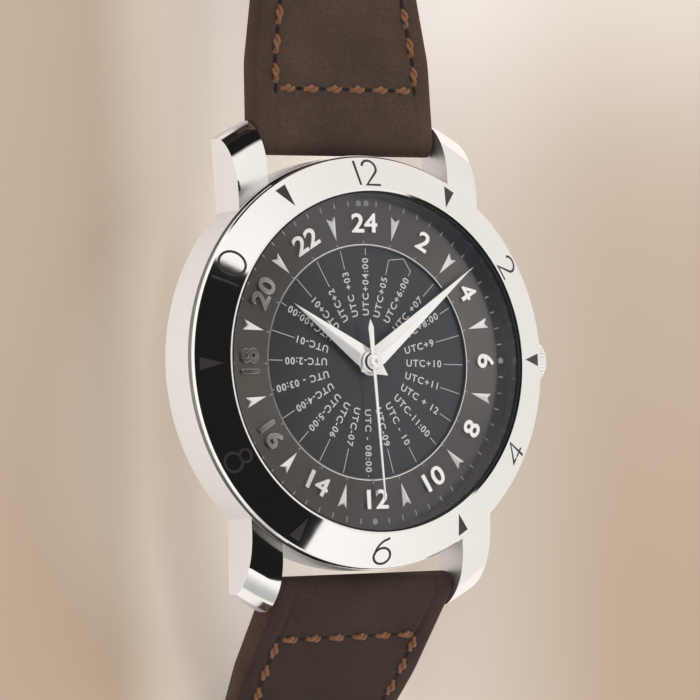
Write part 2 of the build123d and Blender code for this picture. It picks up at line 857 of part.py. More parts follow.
def barrel():
    """The mainspring barrel with its toothed rim and arbor."""
    towards = heading(barrel_at, great_at)
    rim_z = low_z + barrel_rim_height
    shape = toothed(barrel_teeth, barrel_pitch_radius, low_z, rim_z, barrel_at, towards)
    shape += drum(barrel_drum_radius, low_z, drum_top_z, barrel_at)
    shape += drum(barrel_arbor_radius, low_z, mainplate_z - end_shake, barrel_at)
    return shape + drum(barrel_pivot_radius, bridge_z, module_z, barrel_at)


def great_wheel():
    """The wheel that the barrel drives, which turns once an hour and drives the hands."""
    towards = heading(barrel_at, great_at)
    leaves = mate_phase(barrel_teeth, towards, great_pinion_leaves, towards)
    top = low_z + pinion_height
    shape = toothed(great_pinion_leaves, great_pinion_radius, low_z, top, great_at, leaves)
    onward = heading(great_at, third_at)
    shape += wheel(great_wheel_teeth, great_wheel_radius, great_wheel_z, great_at, onward)
    shape += drum(arbor_radius, low_z, cannon_z, great_at)
    shape += drum(pivot_radius, train_z - jewel_height, low_z, great_at)
    to_minute = heading(minute_at, great_at)
    driver = mate_phase(minute_wheel_teeth, minute_phase, cannon_leaves, to_minute)
    top = cannon_z + motion_pinion_height
    return shape + toothed(cannon_leaves, cannon_radius, cannon_z, top, great_at, driver)


def third_wheel():
    """The third wheel of the going train."""
    towards = heading(great_at, third_at)
    leaves = mate_phase(great_wheel_teeth, towards, third_pinion_leaves, towards)
    shape = pinion(third_pinion_leaves, third_pinion_radius, great_wheel_z, third_at, leaves)
    onward = heading(third_at, second_at)
    shape += wheel(third_wheel_teeth, third_wheel_radius, third_wheel_z, third_at, onward)
    return shape + staff(third_at)


def second_wheel():
    """The central seconds wheel with the long arbor that carries the seconds hand."""
    towards = heading(third_at, second_at)
    leaves = mate_phase(third_wheel_teeth, towards, second_pinion_leaves, towards)
    shape = pinion(second_pinion_leaves, second_pinion_radius, third_wheel_z, second_at, leaves)
    onward = heading(second_at, escape_at)
    shape += wheel(second_wheel_teeth, second_wheel_radius, second_wheel_z, second_at, onward)
    shape += drum(arbor_radius, low_z, mainplate_z - end_shake)
    shape += drum(pivot_radius, train_z - jewel_height, low_z)
    return shape + drum(second_arbor_radius, low_z, second_hand_z + second_hub_height)


def escape_wheel():
    """The escape wheel with its pinion and raked teeth."""
    towards = heading(second_at, escape_at)
    leaves = mate_phase(second_wheel_teeth, towards, escape_pinion_leaves, towards)
    shape = pinion(escape_pinion_leaves, escape_pinion_radius, second_wheel_z, escape_at, leaves)
    shape += staff(escape_at)
    pitch = 360 / escape_teeth
    root = escape_wheel_radius * escape_root_share
    outline = []
    for tooth in range(escape_teeth):
        outline.append(spot(root, tooth * pitch))
        tip = tooth + escape_rake_share
        outline.append(spot(escape_wheel_radius, tip * pitch))
        outline.append(spot(escape_wheel_radius, (tip + tooth_tip_share) * pitch))
    rim = extrude(make_face(Polyline(*outline, close=True)), wheel_thickness)
    return shape + Pos(escape_at.X, escape_at.Y, escape_z) * rim


def pallet_fork():
    """The pallet fork: a lever to the balance's roller and two arms round the escape wheel."""
    reach = (balance_at - fork_at).length - roller_radius - roller_gap
    half = fork_lever_width / 2
    lever = block(0, reach, -half, half, 0, fork_thickness)
    lever += block(reach - 2 * half, reach, -2 * half, 2 * half, 0, fork_thickness)
    back = (fork_at - escape_at).length
    rim = escape_wheel_radius + pallet_gap
    shape = lever
    spread = rim * fork_arm_share
    for side in (-1, 1):
        tip = math.asin(fork_arm_share)
        stone = Vector(rim * math.cos(tip) - back + pallet_width / 2, side * spread)
        arm = Box(stone.length, fork_arm_width, fork_thickness, align=(Align.MIN, Align.CENTER, Align.MIN))
        shape += Rot(0, 0, math.degrees(math.atan2(stone.Y, stone.X))) * arm
    shape = Pos(fork_at.X, fork_at.Y, escape_z) * Rot(0, 0, fork_angle) * shape
    bottom = train_z + pallet_bridge_lift + end_shake
    shape += drum(pivot_radius, bottom, mainplate_z + jewel_height, fork_at)
    return shape + drum(arbor_radius, bottom + pallet_bridge_thickness, mainplate_z - end_shake, fork_at)


def balance():
    """The balance wheel on its staff, with the roller that the fork drives."""
    bottom = train_z + balance_lift
    top = bottom + balance_height
    shape = ring(balance_radius, balance_radius - balance_rim_width, bottom, top, balance_at)
    half = balance_arm_width / 2
    reach = balance_radius - balance_rim_width / 2
    shape += Pos(balance_at.X, balance_at.Y, 0) * block(-reach, reach, -half, half, bottom, top)
    shape += staff(balance_at) + drum(roller_radius, escape_z, escape_z + roller_height, balance_at)
    return shape + drum(collet_radius, train_z + hairspring_lift, bottom, balance_at)


def hairspring():
    """The flat hairspring with the stud that holds its outer end to the balance cock."""
    steps = 12
    inner = []
    outer = []
    for step in range(hairspring_turns * steps + 1):
        radius = hairspring_inner_radius + hairspring_pitch * step / steps
        inner.append(spot(radius, step * 360 / steps))
        outer.append(spot(radius + hairspring_width, step * 360 / steps))
    ribbon = make_face(Polyline(*inner, *reversed(outer), close=True))
    level = train_z + hairspring_lift
    coil = Pos(balance_at.X, balance_at.Y, level) * extrude(ribbon, hairspring_height)
    end = inner[-1] + balance_at
    return coil + drum(pivot_radius, train_z, level + hairspring_height, end)


def cannon_pinion():
    """The cannon pinion with the pipe that carries the minute hand."""
    leaves = mate_phase(minute_wheel_teeth, minute_phase, cannon_leaves, minute_phase)
    top = cannon_z + motion_pinion_height
    shape = toothed(cannon_leaves, cannon_radius, cannon_z, top, second_at, leaves)
    shape += drum(cannon_pipe_radius, module_z + end_shake, minute_hand_z)
    shape += drum(cannon_pipe_radius - seat_step, module_z + end_shake, minute_hand_z + hand_crown)
    return shape - drum(cannon_bore_radius, module_z, minute_hand_z + overrun)


def minute_wheel():
    """The minute wheel and pinion of the motion works."""
    rim_z = minute_wheel_z + motion_wheel_height
    shape = toothed(minute_wheel_teeth, minute_wheel_radius, minute_wheel_z, rim_z, minute_at, minute_phase)
    towards = heading(second_at, minute_at)
    leaves = mate_phase(hour_wheel_teeth, towards, minute_pinion_leaves, towards)
    top = hour_wheel_z + motion_wheel_height + end_shake
    shape += toothed(minute_pinion_leaves, minute_pinion_radius, minute_wheel_z, top, minute_at, leaves)
    return shape - drum(stud_radius + stud_clearance, module_z, top + overrun, minute_at)


def hour_wheel():
    """The hour wheel with the pinion of the 24-hour drive and the hour hand's pipe."""
    towards = heading(second_at, minute_at)
    rim_z = hour_wheel_z + motion_wheel_height
    shape = toothed(hour_wheel_teeth, hour_wheel_radius, hour_wheel_z, rim_z, second_at, towards)
    to_idler = heading(day_idler_at, second_at)
    leaves = mate_phase(day_idler_teeth, to_idler, day_pinion_leaves, to_idler)
    top = day_pinion_top_z
    shape += toothed(day_pinion_leaves, day_pinion_radius, hour_wheel_z, top, second_at, leaves)
    shape += drum(hour_pipe_radius, hour_wheel_z, hour_hand_z)
    shape += drum(hour_pipe_radius - seat_step, hour_wheel_z, hour_hand_z + hand_crown)
    return shape - drum(hour_bore_radius, module_z, hour_hand_z + overrun)


def day_idler():
    """The wheel and pinion that halve the hour wheel's speed for the 24-hour disc."""
    to_centre = heading(day_idler_at, second_at)
    rim_z = day_idler_z + motion_wheel_height
    shape = toothed(day_idler_teeth, day_idler_radius, day_idler_z, rim_z, day_idler_at, to_centre)
    outward = to_centre + 180
    leaves = mate_phase(day_wheel_teeth, outward, day_idler_pinion_leaves, outward)
    top = day_wheel_z + motion_wheel_height + end_shake
    small = day_idler_pinion_radius
    shape += toothed(day_idler_pinion_leaves, small, day_idler_z, top, day_idler_at, leaves)
    return shape - drum(day_stud_radius + stud_clearance, module_z, top + overrun, day_idler_at)


def day_wheel():
    """The 24-hour wheel with the hub that carries the world disc."""
    towards = heading(second_at, day_idler_at)
    rim_z = day_wheel_z + motion_wheel_height
    shape = toothed(day_wheel_teeth, day_wheel_radius, day_wheel_z, rim_z, second_at, towards)
    shape += drum(disc_hub_radius, day_wheel_z, disc_z)
    return shape - drum(disc_hub_bore_radius, module_z, disc_top_z)


def kite_hand(length, shoulder, waist, tail, bottom):
    """A faceted hand, widest at its shoulder, whose sides then narrow to a pointed tail."""
    half_width, shoulder_place = shoulder
    waist_half_width, waist_place = waist
    side = [(half_width, shoulder_place), (waist_half_width, -waist_place)]
    other = [(-x, y) for x, y in reversed(side)]
    outline = [(0, length), *side, (0, -tail), *other]
    return faceted(outline, (0, shoulder_place), bottom, hand_edge, hand_crown)


def finish_hand(shape, hub_radius, pipe_radius, bottom, groove, angle):
    """Adds the hub and cuts bore and groove, then points the hand clockwise from 12 o'clock."""
    top = bottom + hand_crown
    shape += drum(hub_radius, bottom, top)
    half = groove_width / 2
    start, end = groove
    shape -= block(-half, half, start, end, bottom + hand_edge, top + overrun)
    shape -= drum(pipe_radius - seat_step, bottom - overrun, top + overrun)
    return Rot(0, 0, -angle) * shape


def hour_hand():
    """The hour hand, a faceted kite with a pointed tail."""
    shoulder = (hour_hand_half_width, hour_hand_shoulder)
    waist = (hour_hand_waist, hour_hand_waist_place)
    shape = kite_hand(hour_hand_length, shoulder, waist, hour_hand_tail, hour_hand_z)
    groove = (hour_groove_start, hour_groove_end)
    return finish_hand(shape, hour_hub_radius, hour_pipe_radius, hour_hand_z, groove, hour_hand_angle)


def minute_hand():
    """The minute hand, like the hour hand but longer."""
    shoulder = (minute_hand_half_width, minute_hand_shoulder)
    waist = (minute_hand_waist, minute_hand_waist_place)
    level = minute_hand_z
    shape = kite_hand(minute_hand_length, shoulder, waist, minute_hand_tail, level)
    groove = (minute_groove_start, minute_groove_end)
    return finish_hand(shape, minute_hub_radius, cannon_pipe_radius, level, groove, minute_hand_angle)


def second_hand():
    """The seconds hand: a thin blade with a lance-shaped counterweight."""
    root = second_hand_half_width
    tip = second_hand_tip_half_width
    tail = second_tail_half_width
    side = [(tip, second_hand_length), (root, 0), (tail, -second_tail_shoulder)]
    outline = [*side, (0, -second_hand_tail), *[(-x, y) for x, y in reversed(side)]]
    blade = extrude(make_face(Polyline(*outline, close=True)), second_hand_thickness)
    shape = Pos(0, 0, second_hand_z) * blade
    shape += drum(second_hub_radius, second_hand_z, second_hand_z + second_hub_height)
    shape -= drum(second_arbor_radius, second_hand_z - overrun, second_hand_z + overrun)
    return Rot(0, 0, -second_hand_angle) * shape


def rotor():
    """The automatic winding rotor: a sector plate with a heavy half ring."""
    top = rotor_z + rotor_weight_height
    plate_z = top - rotor_plate_thickness
    wide = 2 * rotor_radius
    fan = [(0, 0)]
    for turn in (-rotor_spoke_half_angle, 0, rotor_spoke_half_angle):
        edge = spot(wide, turn - 90)
        fan.append((edge.X, edge.Y))
    sector = Pos(0, 0, plate_z) * extrude(make_face(Polyline(*fan, close=True)), rotor_plate_thickness)
    plate = drum(rotor_weight_inner, plate_z, top) & sector
    plate += drum(rotor_hub_radius, plate_z, top)
    weight = ring(rotor_radius, rotor_weight_inner, rotor_z, top)
    weight = weight & block(-wide, wide, -wide, -rotor_hub_radius, 0, bridge_z)
    bore = drum(rotor_bearing_radius + rotor_bearing_clearance, 0, bridge_z)
    return plate + weight - bore


def rotor_bearing():
    """The fixed bearing that holds the rotor to the train bridge."""
    plate_z = rotor_z + rotor_weight_height - rotor_plate_thickness
    post = drum(rotor_bearing_radius, rotor_z + end_shake, bridge_z)
    flange = drum(rotor_bearing_radius + seat_step, rotor_z + end_shake, plate_z - end_shake)
    return post + flange


def crossing_points(corners, halves, side):
    """The corners of a strip's face on one side of its middle line."""
    places = [Vector(*corner) for corner in corners]
    runs = [(there - here).normalized() for here, there in zip(places, places[1:])]
    normals = [Vector(-run.Y, run.X) for run in runs]
    before = [normals[0], *normals]
    after = [*normals, normals[-1]]
    shifted = []
    for place, half, one, two in zip(places, halves, before, after):
        shifted.append(place + (one + two) * (side * half / (1 + one.dot(two))))
    return shifted


def strip(corners, halves, bends):
    """A strip seen from its edge: a bent middle line with a half thickness at each corner.

    A bend's radius counts positive where the strip turns down.
    """
    sides = []
    for side in (1, -1):
        pairs = zip(bends, halves[1:])
        radii = [abs(bend) + math.copysign(half, bend * side) for bend, half in pairs]
        sides.append(FilletPolyline(*crossing_points(corners, halves, side), radius=radii))
    top, bottom = sides
    outline = top + Line(top @ 1, bottom @ 1) + bottom + Line(bottom @ 0, top @ 0)
    return make_face(outline)


def half_thicknesses(shares):
    """Half the strap's thickness at each corner, from the lugs to its end."""
    lost = strap_loop_radius - strap_end_thickness / 2
    return [strap_loop_radius - lost * share for share in shares]


def upper_corners():
    """The buckle half's middle line from its spring bar to the buckle bar."""
    turn = math.radians(upper_turn)
    lower_lead = lower_bend_radius * math.tan(math.radians(lower_turn) / 2)
    lower_drop = (lower_straight + lower_lead) * math.sin(math.radians(lower_turn))
    slope = (lower_drop - keeper_gap - keeper_wall) / math.sin(turn)
    first = (upper_straight + upper_bend_radius * math.tan(turn / 2), 0)
    second = (first[0] + slope * math.cos(turn), -slope * math.sin(turn))
    return [(0, 0), first, second, (second[0] + upper_flat, second[1])]


def lower_corners():
    """The tail half's middle line from its spring bar to its tip."""
    turn = math.radians(lower_turn)
    run = lower_straight + lower_bend_radius * math.tan(turn / 2)
    first = (run * math.cos(turn), -run * math.sin(turn))
    return [(0, 0), first, (first[0] + lower_flat, first[1])]


def plan_side(length):
    """The right side of a strap half seen from above, wide at the lugs."""
    return [
        (strap_lug_half_width, -strap_loop_radius),
        (strap_lug_half_width, 0),
        (strap_box_half_width, strap_box_length),
        (strap_half_width, strap_taper_length),
        (strap_half_width, length),
    ]


def strap_half(corners, shares, bends, plan):
    """A strap half with the loop round its spring bar."""
    profile = strip(corners, half_thicknesses(shares), bends)
    wide = strap_lug_half_width
    blank = extrude(Plane.YZ * profile, wide, both=True)
    blank += cross_rod(strap_loop_radius, -wide, wide, 0, 0)
    deep = corners[-1][1] - overrun
    blank &= Pos(0, 0, deep) * extrude(plan, strap_loop_radius + overrun - deep)
    return blank - cross_rod(strap_loop_bore, -wide - overrun, wide + overrun, 0, 0)


def strap_upper():
    """The strap half at 12 o'clock, which ends in the loop round the buckle bar."""
    corners = upper_corners()
    length, height = corners[-1]
    end_radius = strap_end_thickness / 2
    side = plan_side(length + end_radius)
    plan = make_face(Polyline(*side, *[(-x, y) for x, y in reversed(side)], close=True))
    half = strap_half(corners, thin_shares, (upper_bend_radius, -upper_bend_radius), plan)
    half += cross_rod(end_radius, -strap_half_width, strap_half_width, length, height)
    wide = strap_half_width + overrun
    half -= cross_rod(buckle_bore_radius, -wide, wide, length, height)
    slot = tang_slot_half_width
    near = length - tang_slot_length
    half -= block(-slot, slot, near, length + overrun, height - overrun, height + overrun)
    return Pos(0, bar_reach, bar_z) * half


def strap_lower():
    """The strap half at 6 o'clock with its rounded tip and buckle holes."""
    corners = lower_corners()
    length, height = corners[-1]
    side = plan_side(length - lower_tip_radius)
    shoulder = side[-1]
    other = (-shoulder[0], shoulder[1])
    left = [(-x, y) for x, y in reversed(side)]
    outline = Polyline(*side) + ThreePointArc(shoulder, (0, length), other)
    outline += Polyline(*left, side[0])
    shares = (thin_shares[0], *thin_shares[2:])
    half = strap_half(corners, shares, (-lower_bend_radius,), make_face(outline))
    for hole in range(strap_holes):
        place = Vector(0, length - strap_first_hole - hole * strap_hole_pitch)
        half -= drum(strap_hole_radius, height - overrun, height + overrun, place)
    return Pos(0, -bar_reach, bar_z) * Rot(0, 0, 180) * half


def spring_bar(side):
    """A spring bar between two lugs, its tips in the blind holes."""
    body = strap_lug_half_width
    tip = lug_inner_x + bar_tip_length
    bar = cross_rod(bar_radius, -body, body, side * bar_reach, bar_z)
    return bar + cross_rod(bar_tip_radius, -tip, tip, side * bar_reach, bar_z)


def buckle_place():
    """The middle of the buckle bar."""
    length, height = upper_corners()[-1]
    return Pos(0, bar_reach + length, bar_z + height)


def buckle_frame():
    """The pin buckle's frame: two arms with ears on the bar and a front bar."""
    outer = buckle_inner_half_width + buckle_arm_width
    front = buckle_length + buckle_front_width
    low = -buckle_thickness / 2
    blank = block(-outer, outer, -buckle_ear_radius, front, low, -low)
    blank = fillet(blank.edges().filter_by(Axis.Z).group_by(Axis.Y)[-1], buckle_corner)
    inner = buckle_inner_half_width
    blank -= block(-inner, inner, -buckle_ear_radius - overrun, buckle_length, low - overrun, overrun)
    blank = chamfer(blank.faces().sort_by(Axis.Z)[-1].edges(), buckle_edge_bevel)
    return buckle_place() * (blank - cross_rod(buckle_bar_radius, -outer, outer, 0, 0))


def buckle_bar():
    """The bar that joins buckle, tang and strap."""
    outer = buckle_inner_half_width + buckle_arm_width
    return buckle_place() * cross_rod(buckle_bar_radius, -outer, outer, 0, 0)


def buckle_tang():
    """The tang: a ring on the buckle bar and a finger over the front bar."""
    lift = buckle_thickness / 2 + tang_gap
    tip = buckle_length + buckle_front_width + tang_overhang
    top = lift + tang_thickness
    outline = [(0, tang_ring_radius), (tang_ring_radius, 0), (buckle_length, lift)]
    outline += [(tip, lift), (tip, top), (buckle_length, top)]
    finger = extrude(Plane.YZ * make_face(Polyline(*outline, close=True)), tang_half_width, both=True)
    finger += cross_rod(tang_ring_radius, -tang_half_width, tang_half_width, 0, 0)
    wide = tang_half_width + overrun
    return buckle_place() * (finger - cross_rod(buckle_bore_radius, -wide, wide, 0, 0))


def keeper(place):
    """A leather keeper loop round the strap, with room above for the tail."""
    half = strap_end_thickness / 2
    inner = strap_half_width + keeper_side_gap
    outer = inner + keeper_wall
    floor = -half - keeper_gap
    ceiling = half + keeper_room
    far = -place
    near = far - keeper_width
    loop = block(-outer, outer, near, far, floor - keeper_wall, ceiling + keeper_wall)
    loop = fillet(loop.edges().filter_by(Axis.Y), keeper_inner_corner + keeper_wall)
    room = block(-inner, inner, near - overrun, far + overrun, floor, ceiling)
    return buckle_place() * (loop - fillet(room.edges().filter_by(Axis.Y), keeper_inner_corner))


barrel_bridge, train_bridge, balance_cock = bridges()

nodes = {
    "mid_case": mid_case(),
    "bezel": bezel(),
    "crystal": crystal(),
    "crystal_gasket": ring(bezel_bore_radius, crystal_radius, crystal_z, crystal_z + gasket_height),
    "flange_ring": ring(flange_outer_radius, flange_inner_radius, dial_top_z, crystal_z),
    "case_back": case_back(),
    "back_gasket": back_gasket(),
    "crown": crown(),
    "crown_stem": crown_stem(),
    "crown_tube": crown_tube(),
    "dial_ring": dial_ring(),
    "dial_indices": dial_indices(),
    "world_disc": world_disc(),
    "movement_ring": movement_ring(),
    "mainplate": mainplate(),
    "barrel_bridge": barrel_bridge,
    "train_bridge": train_bridge,
    "balance_cock": balance_cock,
    "bridge_screws": bridge_screws(),
    "jewels": jewels(),
    "module_plate": module_plate(),
    "pallet_bridge": pallet_bridge(),
    "barrel": barrel(),
    "great_wheel": great_wheel(),
    "third_wheel": third_wheel(),
    "second_wheel": second_wheel(),
    "escape_wheel": escape_wheel(),
    "pallet_fork": pallet_fork(),
    "balance": balance(),
    "hairspring": hairspring(),
    "cannon_pinion": cannon_pinion(),
    "minute_wheel": minute_wheel(),
    "hour_wheel": hour_wheel(),
    "day_idler": day_idler(),
    "day_wheel": day_wheel(),
    "hour_hand": hour_hand(),
    "minute_hand": minute_hand(),
    "second_hand": second_hand(),
    "rotor": rotor(),
    "rotor_bearing": rotor_bearing(),
    "spring_bar_upper": spring_bar(1),
    "spring_bar_lower": spring_bar(-1),
    "strap_upper": strap_upper(),
    "strap_lower": strap_lower(),
    "buckle_frame": buckle_frame(),
    "buckle_bar": buckle_bar(),
    "buckle_tang": buckle_tang(),
    "fixed_keeper": keeper(fixed_keeper_place),
    "sliding_keeper": keeper(sliding_keeper_place),
}

for name, shape in nodes.items():
    solids = shape if isinstance(shape, list) else [shape]
    export_step(Compound(children=solids), f"parts/{name}.step")
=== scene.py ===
import math

import bmesh
import bpy
from mathutils import Matrix, Vector


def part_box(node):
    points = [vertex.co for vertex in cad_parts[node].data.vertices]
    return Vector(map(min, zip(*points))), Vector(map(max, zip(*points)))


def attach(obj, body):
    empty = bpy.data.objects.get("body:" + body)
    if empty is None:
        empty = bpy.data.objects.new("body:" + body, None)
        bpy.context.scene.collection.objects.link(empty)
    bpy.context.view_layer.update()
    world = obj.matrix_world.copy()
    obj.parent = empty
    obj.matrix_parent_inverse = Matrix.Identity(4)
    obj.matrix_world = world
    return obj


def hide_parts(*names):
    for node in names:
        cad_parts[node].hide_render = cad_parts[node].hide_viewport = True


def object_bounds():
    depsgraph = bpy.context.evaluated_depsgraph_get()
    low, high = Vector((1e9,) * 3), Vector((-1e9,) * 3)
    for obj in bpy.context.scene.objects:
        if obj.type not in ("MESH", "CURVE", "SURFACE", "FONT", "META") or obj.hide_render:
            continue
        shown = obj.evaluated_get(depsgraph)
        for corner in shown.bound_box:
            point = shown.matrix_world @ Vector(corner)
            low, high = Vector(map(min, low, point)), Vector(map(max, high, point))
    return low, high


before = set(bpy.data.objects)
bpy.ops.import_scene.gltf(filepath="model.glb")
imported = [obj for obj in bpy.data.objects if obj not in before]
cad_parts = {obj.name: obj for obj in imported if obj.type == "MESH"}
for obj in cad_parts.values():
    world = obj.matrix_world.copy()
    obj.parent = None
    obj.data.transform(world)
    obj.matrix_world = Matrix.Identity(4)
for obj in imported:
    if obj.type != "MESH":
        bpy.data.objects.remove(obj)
cad_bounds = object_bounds()

# A world time wristwatch. Sizes below are in millimetres and MM turns them into metres.
# +Z is the way the dial faces, +Y is 12 o'clock and +X is 3 o'clock.
MM = 0.001
FLOOR_Z = cad_bounds[0][2] / MM - 0.02

# Levels and radii that the applied and printed work sits on
DIAL_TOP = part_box("dial_ring")[1].z / MM
DISC_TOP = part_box("world_disc")[1].z / MM
BEZEL_TOP_RADIUS = 20.3
BEZEL_EDGE_Z = 7.68
BEZEL_CREST_RADIUS = 16.98
BEZEL_CREST_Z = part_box("bezel")[1].z / MM

# The camera, fitted to the photograph, with its clipping distances in metres
CAMERA_PLACE = (-249.88, -21.68, 397.3)
CAMERA_RIGHT = (0.8445, -0.0409, 0.5340)
CAMERA_DOWN = (-0.0081, -0.9979, -0.0637)
CAMERA_FORWARD = (0.5355, 0.0495, -0.8431)
CAMERA_LENS = 242.3
CAMERA_SENSOR = 36.0
CAMERA_CLIP = (0.01, 20.0)


def new_object(name, data):
    """A new object of the scene that shows some data."""
    item = bpy.data.objects.new(name, data)
    bpy.context.scene.collection.objects.link(item)
    return item


def place_camera():
    """The camera at the photograph's viewing angle."""
    data = bpy.data.cameras.new("camera")
    data.lens = CAMERA_LENS
    data.sensor_width = CAMERA_SENSOR
    data.clip_start, data.clip_end = CAMERA_CLIP
    camera = new_object("camera", data)
    up = -Vector(CAMERA_DOWN)
    columns = (Vector(CAMERA_RIGHT), up, -Vector(CAMERA_FORWARD))
    matrix = Matrix(columns).transposed().to_4x4()
    matrix.translation = Vector(CAMERA_PLACE) * MM
    camera.matrix_world = matrix
    bpy.context.scene.camera = camera


place_camera()


class Nodes:
    """A node tree with short calls for the nodes that the materials use."""

    def __init__(self, tree):
        """Keeps the calls that make and link the tree's nodes."""
        self.make = tree.nodes.new
        self.link = tree.links.new

    def put(self, socket, value):
        """Sets an input socket from another socket or from a plain value."""
        if isinstance(value, bpy.types.NodeSocket):
            self.link(value, socket)
        elif value is not None:
            socket.default_value = value

    def math(self, operation, first, second=None, clamp=False):
        """One sum of two values."""
        node = self.make("ShaderNodeMath")
        node.operation = operation
        node.use_clamp = clamp
        self.put(node.inputs[0], first)
        self.put(node.inputs[1], second)
        return node.outputs[0]

    def ramp(self, value, low, high, start=0.0, end=1.0):
        """A smooth step from start to end while the value goes from low to high."""
        node = self.make("ShaderNodeMapRange")
        node.interpolation_type = "SMOOTHSTEP"
        for socket, number in zip(node.inputs, (value, low, high, start, end)):
            self.put(socket, number)
        return node.outputs[0]

    def fade(self, value, span, start=0.0, end=1.0):
        """A ramp over a span that is given in millimetres."""
        return self.ramp(value, span[0] * MM, span[1] * MM, start, end)

    def mix(self, factor, first, second):
        """A colour between two colours."""
        node = self.make("ShaderNodeMix")
        node.data_type = "RGBA"
        self.put(node.inputs[0], factor)
        self.put(node.inputs[6], first)
        self.put(node.inputs[7], second)
        return node.outputs[2]

    def noise(self, vector, scale, detail=3.0, rough=0.5):
        """Cloudy noise from 0 to 1."""
        node = self.make("ShaderNodeTexNoise")
        self.put(node.inputs["Vector"], vector)
        node.inputs["Scale"].default_value = scale
        node.inputs["Detail"].default_value = detail
        node.inputs["Roughness"].default_value = rough
        return node.outputs["Fac"]

    def stretched(self, vector, scales):
        """A place scaled along each axis."""
        node = self.make("ShaderNodeMapping")
        self.put(node.inputs["Vector"], vector)
        node.inputs["Scale"].default_value = scales
        return node.outputs[0]

    def bump(self, height, depth, strength):
        """A normal that makes a height look raised."""
        node = self.make("ShaderNodeBump")
        node.inputs["Strength"].default_value = strength
        node.inputs["Distance"].default_value = depth * MM
        self.put(node.inputs["Height"], height)
        return node.outputs[0]

    def parts(self, vector):
        """The x, y and z of a place."""
        node = self.make("ShaderNodeSeparateXYZ")
        self.put(node.inputs[0], vector)
        return node.outputs

    def object_place(self):
        """Places on the piece itself, in metres, which move with it."""
        return self.make("ShaderNodeTexCoord").outputs["Object"]


def colour(red, green, blue):
    """A colour given as the eye sees it, from 0 to 255, as a linear value."""
    linear = [(part / 255) ** 2.2 for part in (red, green, blue)]
    return (*linear, 1.0)


def darkened(tint, share):
    """A colour brought down to a share of its light."""
    return [part * share for part in tint[:3]] + [1.0]


def material(name, **sockets):
    """A new material with its main shader's constant values, and its nodes."""
    new = bpy.data.materials.new(name)
    new.use_nodes = True
    shader = new.node_tree.nodes["Principled BSDF"]
    for socket, value in sockets.items():
        shader.inputs[socket.replace("_", " ")].default_value = value
    return new, Nodes(new.node_tree), shader


def polished_steel(name, tint, roughness=0.06, metallic=1.0):
    """Mirror-polished steel with the faint haze and fine hairlines of handling."""
    new, nodes, shader = material(name, Base_Color=tint, Metallic=metallic)
    place = nodes.object_place()
    haze = nodes.noise(place, 900.0)
    nodes.put(shader.inputs["Roughness"], nodes.ramp(haze, 0.3, 0.8, roughness * 0.9, roughness * 1.15))
    lines = nodes.noise(nodes.stretched(place, (700.0, 5000.0, 700.0)), 1.0)
    nodes.put(shader.inputs["Normal"], nodes.bump(lines, 0.0005, 0.5))
    return new


def brushed_steel(name, tint, grain, roughness=0.32):
    """Brushed steel, its hairlines drawn out along one way of the piece."""
    new, nodes, shader = material(name, Metallic=1.0)
    place = nodes.object_place()
    lines = nodes.noise(nodes.stretched(place, grain), 1.0, 4.0)
    nodes.put(shader.inputs["Base Color"], nodes.mix(lines, darkened(tint, 0.88), tint))
    nodes.put(shader.inputs["Roughness"], nodes.ramp(lines, 0.2, 0.8, roughness * 0.8, roughness * 1.25))
    nodes.put(shader.inputs["Normal"], nodes.bump(lines, 0.003, 0.6))
    return new


def case_steel():
    """The case: brushed flanks, with the lugs' front faces polished."""
    new, nodes, shader = material("case_steel", Metallic=1.0)
    place = nodes.object_place()
    geometry = nodes.make("ShaderNodeNewGeometry")
    facing = nodes.parts(geometry.outputs["True Normal"])
    front = nodes.ramp(facing[2], 0.2, 0.24)
    lines = nodes.noise(nodes.stretched(place, (900.0, 900.0, 14000.0)), 1.0, 4.0)
    flank = nodes.mix(lines, colour(216, 214, 211), colour(236, 234, 231))
    nodes.put(shader.inputs["Base Color"], nodes.mix(front, flank, colour(238, 236, 233)))
    rough = nodes.ramp(lines, 0.2, 0.8, 0.36, 0.5)
    nodes.put(shader.inputs["Roughness"], nodes.ramp(front, 0.0, 1.0, rough, 0.05))
    grain = nodes.math("MULTIPLY", lines, nodes.math("SUBTRACT", 1.0, front))
    nodes.put(shader.inputs["Normal"], nodes.bump(grain, 0.003, 0.7))
    return new


def sunray(name, dark, light, roughness, metallic, stretch):
    """A lacquered metal disc brushed outwards from its centre."""
    new, nodes, shader = material(
        name, Metallic=metallic, Anisotropic=stretch, Coat_Weight=0.3, Coat_Roughness=0.05
    )
    tangent = nodes.make("ShaderNodeTangent")
    tangent.direction_type = "RADIAL"
    tangent.axis = "Z"
    nodes.put(shader.inputs["Tangent"], tangent.outputs[0])
    grain = nodes.noise(nodes.object_place(), 300.0, 3.0, 0.5)
    nodes.put(shader.inputs["Base Color"], nodes.mix(nodes.ramp(grain, 0.3, 0.7), dark, light))
    nodes.put(shader.inputs["Roughness"], nodes.ramp(grain, 0.3, 0.7, roughness * 0.95, roughness * 1.05))
    return new


def crystal_glass():
    """Sapphire with an anti-reflection coat: almost nothing but a faint blue gloss."""
    tint = (0.62, 0.74, 1.0, 1.0)
    new, nodes, shader = material("crystal_glass", Base_Color=tint, Metallic=1.0, Alpha=0.014)
    wiped = nodes.noise(nodes.object_place(), 120.0)
    nodes.put(shader.inputs["Roughness"], nodes.ramp(wiped, 0.3, 0.8, 0.005, 0.02))
    return new


def painted(name, tint, roughness=0.5, speck=0.15):
    """Printed or filled paint with a little unevenness."""
    new, nodes, shader = material(name)
    spots = nodes.noise(nodes.object_place(), 3000.0)
    nodes.put(shader.inputs["Base Color"], nodes.mix(spots, darkened(tint, 1 - speck), tint))
    nodes.put(shader.inputs["Roughness"], nodes.ramp(spots, 0.2, 0.8, roughness * 0.8, roughness * 1.2))
    return new


